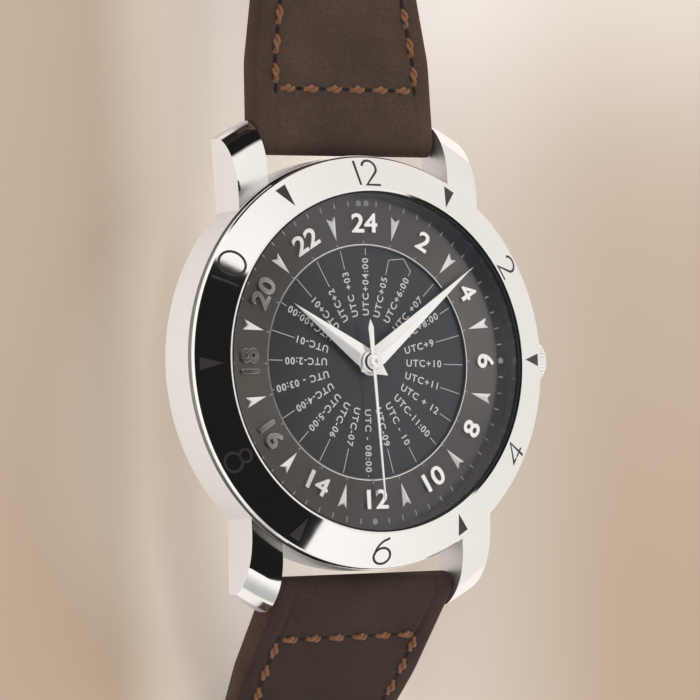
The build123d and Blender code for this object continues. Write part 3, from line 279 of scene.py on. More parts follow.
def nubuck(name, dark, light):
    """Matte brown nubuck: soft cloudy tone, fine nap and small pores."""
    new, nodes, shader = material(
        name, Sheen_Weight=0.25, Sheen_Roughness=0.45, Sheen_Tint=colour(180, 150, 130),
        Specular_IOR_Level=0.25,
    )
    place = nodes.object_place()
    clouds = nodes.noise(place, 130.0, 4.0, 0.6)
    nap = nodes.noise(place, 3600.0, 4.0, 0.7)
    pores = nodes.make("ShaderNodeTexVoronoi")
    nodes.put(pores.inputs["Vector"], place)
    pores.inputs["Scale"].default_value = 2200.0
    tone = nodes.math("ADD", nodes.math("MULTIPLY", clouds, 0.4), nodes.math("MULTIPLY", nap, 0.6))
    nodes.put(shader.inputs["Base Color"], nodes.mix(nodes.ramp(tone, 0.25, 0.8), dark, light))
    nodes.put(shader.inputs["Roughness"], nodes.ramp(nap, 0.2, 0.8, 0.75, 0.95))
    height = nodes.math("ADD", nap, nodes.math("MULTIPLY", pores.outputs["Distance"], 0.6))
    nodes.put(shader.inputs["Normal"], nodes.bump(height, 0.08, 0.8))
    return new


def thread():
    """Waxed stitching thread, rust brown."""
    new, nodes, shader = material("stitch_thread", Sheen_Weight=0.2, Roughness=0.6)
    fibre = nodes.noise(nodes.object_place(), 5200.0, 3.0)
    nodes.put(shader.inputs["Base Color"], nodes.mix(fibre, colour(76, 46, 27), colour(154, 101, 61)))
    nodes.put(shader.inputs["Normal"], nodes.bump(fibre, 0.03, 0.6))
    return new


def plated_metal(name, tint, roughness, scale):
    """Plated movement parts with a fine grained surface."""
    new, nodes, shader = material(name, Metallic=1.0)
    grain = nodes.noise(nodes.object_place(), scale, 4.0)
    nodes.put(shader.inputs["Base Color"], nodes.mix(grain, darkened(tint, 0.8), tint))
    nodes.put(shader.inputs["Roughness"], nodes.ramp(grain, 0.2, 0.8, roughness * 0.8, roughness * 1.2))
    nodes.put(shader.inputs["Normal"], nodes.bump(grain, 0.002, 0.4))
    return new


STEEL = polished_steel("polished_steel", colour(240, 238, 235))
HAND_STEEL = polished_steel("hand_steel", colour(246, 243, 239), 0.1, 0.45)
APPLIED = polished_steel("applied_steel", colour(246, 244, 241), 0.05)
INDEX = polished_steel("index_steel", colour(240, 238, 235), 0.35, 0.4)
# The collars' warm tint is their own, but their darkness is painted reflection: it stands in for the dark
# surround that the polished collars mirror.
COLLAR_STEEL_PAINTED_DARK = polished_steel("collar_steel_painted_dark", colour(74, 63, 51), 0.08)
CASE = case_steel()
BACK = brushed_steel("back_steel", colour(222, 220, 217), (400.0, 9000.0, 400.0))
FLANGE = brushed_steel("flange_steel", colour(176, 170, 164), (1500.0, 1500.0, 9000.0), 0.22)
DIAL = sunray("dial_sunray", colour(106, 100, 96), colour(109, 103, 99), 0.3, 1.0, 0.8)
DISC = sunray("disc_sunray", colour(55, 55, 54), colour(58, 58, 57), 0.5, 0.4, 0.5)
GLASS = crystal_glass()
BLACK_FILL = painted("black_fill", colour(48, 45, 43), 0.5)
WHITE_PRINT = painted("white_print", colour(205, 205, 205), 0.5)
LUME = painted("luminous_dot", colour(150, 150, 148), 0.7)
LEATHER = nubuck("strap_nubuck", colour(56, 44, 38), colour(86, 70, 61))
# A darker copy of the same nubuck for the half at 6 o'clock: painted shade, since that half faces down, away
# from the light.
LEATHER_PAINTED_SHADE = nubuck("strap_nubuck_painted_shade", colour(46, 36, 32), colour(70, 57, 51))
LEATHER_EDGE = nubuck("strap_edge", colour(54, 40, 35), colour(88, 70, 60))
THREAD = thread()
# Flat dark patches at the stitch holes: painted shade standing in for the holes' recesses.
HOLE_PAINTED_SHADE = painted("painted_hole_shade", colour(32, 24, 20), 0.9)
BRASS = plated_metal("gilt_brass", colour(226, 190, 120), 0.3, 1500.0)
RHODIUM = plated_metal("rhodium_plate", colour(206, 204, 200), 0.28, 1200.0)
RUBBER = painted("gasket_rubber", colour(28, 28, 28), 0.8)
RUBY = painted("ruby", colour(170, 20, 50), 0.1)

NODE_MATERIALS = {
    CASE: ["mid_case"],
    STEEL: ["bezel", "crown", "buckle_frame", "buckle_tang", "bridge_screws"],
    HAND_STEEL: ["hour_hand", "minute_hand", "second_hand"],
    INDEX: ["dial_indices"],
    BACK: [
        "case_back", "crown_stem", "crown_tube", "spring_bar_upper", "spring_bar_lower", "buckle_bar",
        "movement_ring",
    ],
    FLANGE: ["flange_ring"],
    DIAL: ["dial_ring"],
    DISC: ["world_disc"],
    GLASS: ["crystal"],
    BRASS: [
        "barrel", "great_wheel", "third_wheel", "second_wheel", "balance", "minute_wheel", "hour_wheel",
        "day_idler", "day_wheel", "rotor",
    ],
    RHODIUM: [
        "mainplate", "barrel_bridge", "train_bridge", "balance_cock", "pallet_bridge", "module_plate",
        "escape_wheel", "pallet_fork", "hairspring", "cannon_pinion", "rotor_bearing",
    ],
    RUBBER: ["crystal_gasket", "back_gasket"],
    RUBY: ["jewels"],
}
for finish, names in NODE_MATERIALS.items():
    for name in names:
        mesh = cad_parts[name].data
        mesh.materials.clear()
        mesh.materials.append(finish)


def add_piece(name, mesh, finishes, body, smooth=True):
    """Links a mesh as a piece that rides on a body and takes its finish from a slot."""
    for finish in finishes:
        mesh.materials.append(finish)
    if smooth:
        mesh.shade_smooth()
    piece = new_object(name, mesh)
    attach(piece, body)
    return piece


def finish_mesh(build, name, weld=0.0):
    """Turns a bmesh into a mesh with its normals outwards."""
    if weld:
        bmesh.ops.remove_doubles(build, verts=build.verts, dist=weld * MM)
    bmesh.ops.recalc_face_normals(build, faces=build.faces)
    mesh = bpy.data.meshes.new(name)
    build.to_mesh(mesh)
    build.free()
    return mesh


def skin(build, rows):
    """Faces between each ring of points and the next one."""
    for one, two in zip(rows, rows[1:]):
        for side in range(len(one)):
            there = (side + 1) % len(one)
            build.faces.new((one[side], one[there], two[there], two[side]))


def prism(build, outline, carry, low, high):
    """A thin plate with a flat outline, carried onto a surface by a function of u, v and height."""
    bottom = [build.verts.new(carry(u, v, low)) for u, v in outline]
    top = [build.verts.new(carry(u, v, high)) for u, v in outline]
    build.faces.new(top)
    build.faces.new(list(reversed(bottom)))
    skin(build, [bottom, top])


# How far a stroke's sharp corners may reach out, as the cosine of half their turn
SHARPEST_CORNER = 0.5


def ribbon(build, points, width, carry, low, high, closed=False):
    """A stroke of constant width along points, carried onto a surface."""
    places = [Vector((*point, 0)) for point in points]
    count = len(places)
    rows = []
    for index, place in enumerate(places):
        before = places[(index - 1) % count] if closed or index else place
        after = places[(index + 1) % count] if closed or index < count - 1 else place
        one = (place - before).normalized()
        two = (after - place).normalized()
        run = (one + two).normalized() if (one + two).length else one
        stretch = 1 / max(SHARPEST_CORNER, run.dot(two if two.length else one))
        aside = Vector((-run.y, run.x, 0)) * (width / 2 * stretch)
        left = place + aside
        right = place - aside
        corners = ((left, low), (right, low), (right, high), (left, high))
        rows.append([build.verts.new(carry(at.x, at.y, level)) for at, level in corners])
    skin(build, rows + rows[:1] if closed else rows)
    if not closed:
        build.faces.new(list(reversed(rows[0])))
        build.faces.new(rows[-1])


def arc(centre, radii, start, end, steps=20):
    """Points on an ellipse between two angles in degrees."""
    points = []
    for step in range(steps + 1):
        turn = math.radians(start + (end - start) * step / steps)
        points.append((centre[0] + radii[0] * math.cos(turn), centre[1] + radii[1] * math.sin(turn)))
    return points


def circle(radius, steps, centre=(0, 0)):
    """Points on a full circle, each once."""
    return arc(centre, (radius, radius), 0, 360, steps)[:-1]


def flat_carry(angle, level):
    """Carries u sideways and v outwards from the dial's centre, at a clock angle, onto a level."""
    turn = Matrix.Rotation(math.radians(-angle), 3, "Z")
    return lambda u, v, height: turn @ Vector((u, v, level + height)) * MM


def cone_carry(angle):
    """Carries u round the bezel and v up its slope from its outer edge."""
    run = Vector((BEZEL_CREST_RADIUS - BEZEL_TOP_RADIUS, BEZEL_CREST_Z - BEZEL_EDGE_Z))
    along = run.normalized()
    normal = Vector((along.y, -along.x))
    middle = (BEZEL_CREST_RADIUS + BEZEL_TOP_RADIUS) / 2

    def carry(u, v, height):
        """A point on the slope, or above it by a height."""
        radius = BEZEL_TOP_RADIUS + along.x * v + normal.x * height
        level = BEZEL_EDGE_Z + along.y * v + normal.y * height
        turn = math.radians(90 - angle) - u / middle
        return Vector((radius * math.cos(turn), radius * math.sin(turn), level)) * MM

    return carry


# Bezel: engraved numerals in thin strokes, drawn in a box one high, and filled triangles
STROKE_DIGITS = {
    "1": ([[(0.0, 0.0), (0.0, 1.0)]], 0.06),
    "2": ([arc((0.28, 0.7), (0.28, 0.3), 165, -38) + [(0.0, 0.0), (0.62, 0.0)]], 0.62),
    "4": ([[(0.48, 0.0), (0.48, 1.0), (0.0, 0.28), (0.64, 0.28)]], 0.64),
    "6": ([[(0.56, 1.0)] + arc((0.56, 0.34), (0.54, 0.62), 100, 178, 12), "loop"], 0.7),
    "8": (["top", "loop"], 0.66),
    "0": (["ring"], 0.84),
}
STROKE_LOOPS = {
    "loop": ((0.34, 0.31), (0.34, 0.31)),
    "top": ((0.34, 0.8), (0.25, 0.2)),
    "ring": ((0.42, 0.5), (0.42, 0.5)),
}
BEZEL_NUMERALS = {0: "12", 60: "2", 120: "4", 180: "6", 240: "8", 300: "10"}
BEZEL_TOP_INWARD = (120, 180, 240)
BEZEL_NUMERAL_HEIGHT = 2.72
BEZEL_NUMERAL_START = 0.48
BEZEL_STROKE = 0.25
BEZEL_DIGIT_GAP = 0.22
BEZEL_TRIANGLE = (0.6, 0.62, 3.0)
FILL_DEPTH = 0.03
FILL_LIFT = 0.01
LOOP_STEPS = 40


def stroke_number(build, text, height, width, carry, outward):
    """Writes a number in strokes, centred on u, with its top outwards or inwards."""
    total = sum(STROKE_DIGITS[digit][1] for digit in text) + BEZEL_DIGIT_GAP * (len(text) - 1)
    cursor = -total / 2

    def place(u, v, level):
        """A point of the number, from its foot, on the surface."""
        if outward:
            return carry(u, height - v + BEZEL_NUMERAL_START, level)
        return carry(-u, v + BEZEL_NUMERAL_START, level)

    for digit in text:
        strokes, advance = STROKE_DIGITS[digit]
        for stroke in strokes:
            closed = isinstance(stroke, str)
            points = arc(*STROKE_LOOPS[stroke], 0, 360, LOOP_STEPS)[:-1] if closed else stroke
            scaled = [((x + cursor) * height, y * height) for x, y in points]
            ribbon(build, scaled, width, place, -FILL_DEPTH, FILL_LIFT, closed)
        cursor += advance + BEZEL_DIGIT_GAP


def bezel_scale():
    """The engraved and filled 12-hour scale on the bezel."""
    build = bmesh.new()
    half, start, end = BEZEL_TRIANGLE
    for hour in range(12):
        angle = hour * 30
        carry = cone_carry(angle)
        if angle in BEZEL_NUMERALS:
            outward = angle not in BEZEL_TOP_INWARD
            stroke_number(build, BEZEL_NUMERALS[angle], BEZEL_NUMERAL_HEIGHT, BEZEL_STROKE, carry, outward)
        else:
            prism(build, [(-half, start), (half, start), (0, end)], carry, -FILL_DEPTH, FILL_LIFT)
    add_piece("bezel_scale", finish_mesh(build, "bezel_scale"), [BLACK_FILL], "case", False)


bezel_scale()


TEXT_RESOLUTION = 4
TEXT_EDGE_STEPS = 1


def text_mesh(text, size, bold, thickness, edge=0.0, align="CENTER", spacing=1.0, stretch=1.0):
    """A flat text as a mesh in millimetres, in the plain built-in font."""
    curve = bpy.data.curves.new("text", "FONT")
    curve.body = text
    curve.size = size
    curve.offset = bold
    curve.extrude = thickness / 2
    curve.bevel_depth = edge
    curve.bevel_resolution = TEXT_EDGE_STEPS
    curve.resolution_u = TEXT_RESOLUTION
    curve.align_x = align
    curve.align_y = "CENTER"
    curve.space_character = spacing
    holder = new_object("text", curve)
    graph = bpy.context.evaluated_depsgraph_get()
    mesh = bpy.data.meshes.new_from_object(holder.evaluated_get(graph))
    bpy.data.objects.remove(holder)
    bpy.data.curves.remove(curve)
    for vert in mesh.vertices:
        vert.co.x *= stretch
    return mesh


def add_text(build, mesh, angle, radius, level, spin=0.0):
    """Puts a text at a clock angle and radius on a level, turned by spin about its own middle."""
    before = len(build.verts)
    build.from_mesh(mesh)
    build.verts.ensure_lookup_table()
    new = build.verts[before:]
    place = Matrix.Rotation(math.radians(-angle), 4, "Z") @ Matrix.Translation((0, radius, level))
    matrix = Matrix.Scale(MM, 4) @ place @ Matrix.Rotation(math.radians(spin), 4, "Z")
    for vert in new:
        vert.co = matrix @ vert.co
    bpy.data.meshes.remove(mesh)


# Dial: applied numerals of the 24-hour scale, minute track and dots
DIAL_NUMERALS = (24, 2, 4, 6, 8, 10, 12, 14, 16, 18, 20, 22)
DIAL_TOP_INWARD = (8, 10, 12, 14, 16)
NUMERAL_RADIUS = 13.62
NUMERAL_SIZE = 2.6
NUMERAL_BOLD = 0.045
NUMERAL_STRETCH = 1.18
NUMERAL_HEIGHT = 0.24
NUMERAL_EDGE = 0.02
NUMERAL_WELD = 0.001
PRINT_HEIGHT = 0.012
MINUTE_MARKS = 60
MINUTE_INNER = 15.45
MINUTE_OUTER = 15.98
MINUTE_WIDTH = 0.07
TRACK_DOTS = ((-1.65, 15.7), (1.65, 15.7), (90, 15.7), (180, 15.7), (270, 15.7))
TRACK_DOT_RADIUS = 0.3
TRACK_DOT_HEIGHT = 3 * PRINT_HEIGHT
TRACK_DOT_STEPS = 20
OPENING_EDGE_RADIUS = 11.62
OPENING_EDGE_WIDTH = 0.08
OPENING_EDGE_STEPS = 128
HOUR_TICK = (11.75, 11.95)


def dial_numerals():
    """The applied numerals, polished and slightly rounded."""
    build = bmesh.new()
    for step, number in enumerate(DIAL_NUMERALS):
        spin = 180 if number in DIAL_TOP_INWARD else 0
        form = (NUMERAL_SIZE, NUMERAL_BOLD, NUMERAL_HEIGHT, NUMERAL_EDGE)
        mesh = text_mesh(str(number), *form, stretch=NUMERAL_STRETCH)
        level = DIAL_TOP + NUMERAL_HEIGHT / 2 + NUMERAL_EDGE
        add_text(build, mesh, step * 30, NUMERAL_RADIUS, level, spin)
    mesh = finish_mesh(build, "dial_numerals", NUMERAL_WELD)
    add_piece("dial_numerals", mesh, [APPLIED], "case", False)


def bar(half, start, end):
    """A straight bar's outline between two radii."""
    return [(-half, start), (half, start), (half, end), (-half, end)]


def dial_print():
    """The minute track, and a small tick for each hour of the disc."""
    build = bmesh.new()
    half = MINUTE_WIDTH / 2
    for mark in range(MINUTE_MARKS):
        angle = mark * 360 / MINUTE_MARKS
        if angle not in (0, 90, 180, 270):
            carry = flat_carry(angle, DIAL_TOP)
            prism(build, bar(half, MINUTE_INNER, MINUTE_OUTER), carry, 0, PRINT_HEIGHT)
    for hour in range(24):
        prism(build, bar(half, *HOUR_TICK), flat_carry(hour * 15, DIAL_TOP), 0, PRINT_HEIGHT)
    add_piece("dial_print", finish_mesh(build, "dial_print"), [WHITE_PRINT], "case", False)


def track_dots():
    """The luminous dots on the minute track: two at 12 o'clock and one at 3, 6 and 9."""
    build = bmesh.new()
    for angle, radius in TRACK_DOTS:
        dot = circle(TRACK_DOT_RADIUS, TRACK_DOT_STEPS, (0, radius))
        prism(build, dot, flat_carry(angle, DIAL_TOP), 0, TRACK_DOT_HEIGHT)
    add_piece("track_dots", finish_mesh(build, "track_dots"), [LUME], "case", False)


def opening_edge():
    """The thin polished line round the dial's opening, above the world time disc."""
    build = bmesh.new()
    edge = circle(OPENING_EDGE_RADIUS, OPENING_EDGE_STEPS)
    ribbon(build, edge, OPENING_EDGE_WIDTH, flat_carry(0, DIAL_TOP), 0, PRINT_HEIGHT, True)
    add_piece("opening_edge", finish_mesh(build, "opening_edge"), [STEEL], "case", False)


dial_numerals()
dial_print()
track_dots()
opening_edge()

# World disc: time differences, one an hour, read outwards from the hub, each with its leader line
DISC_TURN = 1.8
DISC_TEXTS = (
    "UTC+04:00", "UTC+05", "UTC+6:00", "UTC +07", "UTC+8:00", "UTC+9", "UTC+10", "UTC+11", "UTC + 12",
    "UTC-11:00", "UTC - 10", "UTC-09", "UTC - 08:00", "UTC-07", "UTC-06", "UTC-5:00", "UTC-4:00",
    "UTC - 03:00", "UTC-2:00", "UTC-01", "UTC+00:00", "UTC+01", "UTC+2", "UTC +03",
)
TEXT_START = 4.6
TEXT_SIZE = 0.98
TEXT_SPACING = 1.2
TEXT_STRETCH = 1.04
TEXT_BOLD = 0.016
LEADER_END = 11.3
LEADER_GAP = 0.3
LEADER_WIDTH = 0.06
FORK_HOURS = (1, 2)
FORK_BEND = 10.55
FORK_ANGLE = 23.3


def disc_print():
    """The time differences on the rotating disc, with a leader line from each to the edge."""
    build = bmesh.new()
    for hour, text in enumerate(DISC_TEXTS):
        angle = hour * 15 + DISC_TURN
        mesh = text_mesh(text, TEXT_SIZE, TEXT_BOLD, PRINT_HEIGHT, 0.0, "LEFT", TEXT_SPACING, TEXT_STRETCH)
        length = max(vert.co.x for vert in mesh.vertices)
        add_text(build, mesh, angle, TEXT_START, DISC_TOP, 90)
        carry = flat_carry(angle, DISC_TOP)
        start = TEXT_START + length + LEADER_GAP
        if hour in FORK_HOURS:
            turn = math.radians(FORK_ANGLE + DISC_TURN - angle)
            meet = (LEADER_END * math.sin(turn), LEADER_END * math.cos(turn))
            ribbon(build, [(0, start), (0, FORK_BEND), meet], LEADER_WIDTH, carry, 0, PRINT_HEIGHT)
        else:
            ribbon(build, [(0, start), (0, LEADER_END)], LEADER_WIDTH, carry, 0, PRINT_HEIGHT)
    add_piece("disc_print", finish_mesh(build, "disc_print"), [WHITE_PRINT], "day", False)


disc_print()

LATHE_STEPS = 64


def lathe(name, profile, finish, body):
    """A piece turned about the hands' axis from radius and height points."""
    build = bmesh.new()
    rings = []
    for radius, height in profile:
        ring = circle(radius, LATHE_STEPS)
        rings.append([build.verts.new(Vector((x, y, height)) * MM) for x, y in ring])
    skin(build, rings)
    build.faces.new(rings[-1])
    build.faces.new(list(reversed(rings[0])))
    add_piece(name, finish_mesh(build, name), [finish], body)


# Polished collars on the hands' pipes, and the domed cap on the seconds hand's boss
HOUR_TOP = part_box("hour_hand")[1].z / MM
MINUTE_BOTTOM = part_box("minute_hand")[0].z / MM
MINUTE_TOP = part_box("minute_hand")[1].z / MM
SECOND_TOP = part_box("second_hand")[1].z / MM
HOUR_COLLAR = 1.12
MINUTE_COLLAR = 0.88
COLLAR_BEVEL = 0.04
CAP_PROFILE = ((0.7, 0.0), (0.62, 0.05), (0.45, 0.08), (0.2, 0.09), (0.16, 0.04), (0.02, 0.03))
CAP_GAP = 0.19


def collar(name, radius, bottom, top, body):
    """A short polished collar with a bevelled upper edge."""
    profile = [(radius, bottom), (radius, top - COLLAR_BEVEL), (radius - COLLAR_BEVEL, top)]
    # Its dark tone is partly painted reflection, on top of a warm tint of its own.
    lathe(name, profile, COLLAR_STEEL_PAINTED_DARK, body)


collar("hour_collar", HOUR_COLLAR, HOUR_TOP, MINUTE_BOTTOM - PRINT_HEIGHT, "hours")
collar("minute_collar", MINUTE_COLLAR, MINUTE_TOP, SECOND_TOP - CAP_GAP, "minutes")
cap = [(radius, SECOND_TOP + height) for radius, height in CAP_PROFILE]
lathe("second_cap", cap, HAND_STEEL, "seconds")


# Strap halves: a middle line in the watch's side view, the same as the solids', and a padded section
BAR_REACH = 22.2
BAR_Z = 3.6
STRAP_UPPER = {
    "corners": ((0, 0), (21.961, 0), (33.370, -13.604), (63.370, -13.604)),
    "radii": (16.0, 16.0),
    "shares": (0.0, 0.6, 1.0, 1.0),
}
STRAP_LOWER = {
    "corners": ((0, 0), (16.662, -14.484), (102.662, -14.484)),
    "radii": (20.0,),
    "shares": (0.0, 1.0, 1.0),
}
LOOP_HALF = 1.5
END_HALF = 1.1
LUG_HALF_WIDTH = 10.3
BOX_HALF_WIDTH = 10.15
BOX_LENGTH = 7.8
TAPER_HALF_WIDTH = 9.0
TAPER_LENGTH = 15.3
TIP_RADIUS = 8.0
STITCH_INSET = 2.1
STITCH_PITCH = 2.85
STITCH_LENGTH = 2.05
STITCH_RADIUS = 0.4
# Stitch holes are drawn as flat dark patches of painted shade, sized and placed by the hole values below.
STITCH_HOLE = (0.44, 0.2)
STITCH_SINK = 0.14
HOLE_LIFT = 0.015
HOLE_SIDES = 12
FIRST_ROW = 5.0
SEAM_END_UPPER = 7.5
SEAM_END_LOWER = 9.0
STRAP_STEP = 1.0
BEND_STEPS = 16

# The padded section: its rounded edge, the rim's drop below the crown, and by the seam each point's
# distance from it and drop below the crown
EDGE_RADIUS = 0.4
EDGE_OF_HALF = 0.6
EDGE_OF_WIDTH = 0.5
EDGE_MIDDLE = 0.3
RIM_DROP = 0.1
EDGE_DROP = 0.08
SEAM_POINTS = ((0.45, 0.02), (0.18, 0.06), (0.0, STITCH_SINK), (-0.18, 0.05), (-0.5, 0.0))
CROWN_SHARES = (0.6, 0.3)
UNDER_SHARE = 0.5
EDGE_FACING = 0.8

# Sections at the round ends, in degrees round them, and where the even sections stop before the tip
NOSE_TURNS = (12, 30, 50, 70)
TAIL_TURNS = (70, 78, 84)
TAIL_SHARE = 0.08


def middle_line(corners, radii):
    """Samples the middle line: places, directions and lengths along it, with its corners rounded."""
    places = [Vector(corner) for corner in corners]
    line = [places[0]]
    for index, radius in enumerate(radii, 1):
        before = (places[index - 1] - places[index]).normalized()
        after = (places[index + 1] - places[index]).normalized()
        turn = math.pi - before.angle(after)
        lead = radius * math.tan(turn / 2)
        start = places[index] + before * lead
        centre = places[index] + (before + after).normalized() * (radius / math.cos(turn / 2))
        spoke = start - centre
        spin = math.copysign(turn, before.x * after.y - before.y * after.x)
        for step in range(BEND_STEPS + 1):
            line.append(centre + Matrix.Rotation(-spin * step / BEND_STEPS, 2) @ spoke)
    line.append(places[-1])
    return line


class Middle:
    """A strap half's middle line, walked by length."""

    def __init__(self, form, direction):
        """Takes a half's form, and 1 for the half at 12 o'clock or -1 for the one at 6."""
        self.line = middle_line(form["corners"], form["radii"])
        self.marks = [0.0]
        for here, there in zip(self.line, self.line[1:]):
            self.marks.append(self.marks[-1] + (there - here).length)
        self.length = self.marks[-1]
        self.direction = direction
        corners = [Vector(corner) for corner in form["corners"]]
        spans = [0.0]
        for here, there in zip(corners, corners[1:]):
            spans.append(spans[-1] + (there - here).length)
        self.spans = spans
        self.shares = form["shares"]

    def at(self, length):
        """The place and outward direction at a length from the spring bar."""
        last = len(self.line) - 2
        index = 0
        while index < last and self.marks[index + 1] < length:
            index += 1
        run = (self.line[index + 1] - self.line[index]).normalized()
        return self.line[index] + run * (length - self.marks[index]), run

    def half_thickness(self, length):
        """Half the strap's thickness, from the loop to the thinner end."""
        share = self.shares[-1]
        for here in range(len(self.spans) - 1):
            if length < self.spans[here + 1]:
                part = max(0.0, (length - self.spans[here]) / (self.spans[here + 1] - self.spans[here]))
                share = self.shares[here] + (self.shares[here + 1] - self.shares[here]) * part
                break
        half = LOOP_HALF - (LOOP_HALF - END_HALF) * share
        return math.sqrt(max(0.0, LOOP_HALF**2 - length**2)) if length < 0 else half

    def carry(self, length, x, height):
        """A point on the strap, x to the right and height above the middle line."""
        place, run = self.at(length)
        normal = Vector((-run.y, run.x))
        spot = place + normal * height
        return Vector((x, self.direction * (BAR_REACH + spot.x), BAR_Z + spot.y)) * MM


def half_width(middle, length, rounded):
    """Half the strap's width, boxed at the lugs and then tapered, with or without a round tip."""
    ground = middle.at(max(length, 0.0))[0].x
    stops = ((0.0, LUG_HALF_WIDTH), (BOX_LENGTH, BOX_HALF_WIDTH), (TAPER_LENGTH, TAPER_HALF_WIDTH))
    width = TAPER_HALF_WIDTH
    for (start, one), (end, two) in zip(stops, stops[1:]):
        if ground < end:
            width = one + (two - one) * max(0.0, ground - start) / (end - start)
            break
    left = middle.length - length
    if rounded and left < TIP_RADIUS:
        share = (TIP_RADIUS - left) / TIP_RADIUS
        width = min(width, TAPER_HALF_WIDTH * math.sqrt(max(0.0, 1 - share**2)))
    return width


def section(width, half):
    """The strap's section: crowned between its seams, thinner outside them, with rounded edges."""
    edge = min(EDGE_RADIUS, half * EDGE_OF_HALF, width * EDGE_OF_WIDTH)
    inner = max(width - STITCH_INSET, width * EDGE_OF_WIDTH)
    rim = half - RIM_DROP
    bend = edge * EDGE_MIDDLE
    tops = [(width, rim - edge), (width - bend, rim - bend), (width - edge, half - EDGE_DROP)]
    tops += [(inner + aside, half - drop) for aside, drop in SEAM_POINTS]
    tops += [(inner * share, half) for share in CROWN_SHARES]
    top = tops + [(0.0, half)] + [(-x, h) for x, h in reversed(tops)]
    bottoms = [(-width, -half + edge), (-width + bend, -half + bend), (-width + edge, -half)]
    middles = [(-inner * UNDER_SHARE, -half), (0.0, -half), (inner * UNDER_SHARE, -half)]
    return top + bottoms + middles + [(-x, h) for x, h in reversed(bottoms)]


def strap_mesh(name, form, direction, rounded):
    """A strap half as one closed skin over its sections."""
    middle = Middle(form, direction)
    build = bmesh.new()
    nose = [-LOOP_HALF * math.cos(math.radians(turn)) for turn in NOSE_TURNS]
    count = int(middle.length / STRAP_STEP)
    stops = nose + [middle.length * step / count for step in range(count + 1)]
    if rounded:
        tail = [middle.length - TIP_RADIUS * (1 - math.sin(math.radians(turn))) for turn in TAIL_TURNS]
        stops = [stop for stop in stops if stop < middle.length - TIP_RADIUS * TAIL_SHARE] + tail
    rows = []
    for stop in stops:
        points = section(half_width(middle, stop, rounded), middle.half_thickness(stop))
        rows.append([build.verts.new(middle.carry(stop, x, h)) for x, h in points])
    skin(build, rows)
    build.faces.new(rows[0])
    build.faces.new(rows[-1])
    edge_finish(build)
    return middle, finish_mesh(build, name)


def edge_finish(build):
    """Gives the strap's narrow side walls the edge finish."""
    build.normal_update()
    for face in build.faces:
        if abs(face.normal.x) > EDGE_FACING:
            face.material_index = 1


def cut(mesh, cutter, name):
    """A mesh with a cutter taken out of it."""
    base = new_object("base", mesh)
    tool = new_object("tool", cutter)
    change = base.modifiers.new("cut", "BOOLEAN")
    change.object = tool
    change.solver = "EXACT"
    graph = bpy.context.evaluated_depsgraph_get()
    result = bpy.data.meshes.new_from_object(base.evaluated_get(graph))
    result.name = name
    for item in (base, tool):
        bpy.data.objects.remove(item)
    return result


STRAP_HOLES = 7
HOLE_RADIUS = 1.0
HOLE_PITCH = 6.5
FIRST_HOLE = 26.0
BUCKLE_HOLE_STEPS = 24
SLOT_HALF = 1.05
SLOT_LENGTH = 5.5
CUT_REACH = 3.0


def hole_cutter(middle):
    """Round posts where the strap's buckle holes go."""
    build = bmesh.new()
    for hole in range(STRAP_HOLES):
        length = middle.length - FIRST_HOLE - hole * HOLE_PITCH
        post = circle(HOLE_RADIUS, BUCKLE_HOLE_STEPS)
        prism(build, post, lambda u, v, h, at=length: middle.carry(at + v, u, h), -CUT_REACH, CUT_REACH)
    return finish_mesh(build, "holes")


def slot_cutter(middle):
    """The slot for the buckle's tang."""
    build = bmesh.new()
    start = middle.length - SLOT_LENGTH
    end = middle.length + END_HALF + LOOP_HALF
    outline = bar(SLOT_HALF, start, end)
    prism(build, outline, lambda u, v, h: middle.carry(v, u, h), -CUT_REACH, CUT_REACH)
    return finish_mesh(build, "slot")


# One stitch: its arch above the holes, and its plies' twist in half turns, offset and thickness
STITCH_STEPS = 12
STITCH_ARCH = 0.42
STITCH_DIVE = 0.2
STITCH_CURVE = 0.5
PLY_TWIST = 1.8
PLY_OFFSET = 0.5
PLY_THIN = 0.35
PLY_SWELL = 0.25
PLY_SIDES = 6


def turns_round(sides):
    """Angles at even steps round a circle."""
    return [index * 2 * math.pi / sides for index in range(sides)]


def stitch(build, start, end, lift):
    """One stitch: two twisted plies that rise from one hole and dive into the next."""
    run = end - start
    aside = run.normalized().cross(lift).normalized()
    for ply in (0, math.pi):
        rings = []
        for step in range(STITCH_STEPS + 1):
            share = step / STITCH_STEPS
            rise = math.sin(math.pi * share) ** STITCH_CURVE
            twist = ply + share * PLY_TWIST * math.pi
            reach = STITCH_RADIUS * PLY_OFFSET * rise * MM
            centre = start + run * share + lift * (rise * STITCH_ARCH - STITCH_DIVE) * MM
            centre += (aside * math.cos(twist) + lift * math.sin(twist)) * reach
            radius = STITCH_RADIUS * (PLY_THIN + PLY_SWELL * rise) * MM
            rings.append([
                build.verts.new(centre + (aside * math.cos(turn) + lift * math.sin(turn)) * radius)
                for turn in turns_round(PLY_SIDES)
            ])
        skin(build, rings)
        build.faces.new(rings[0])
        build.faces.new(rings[-1])


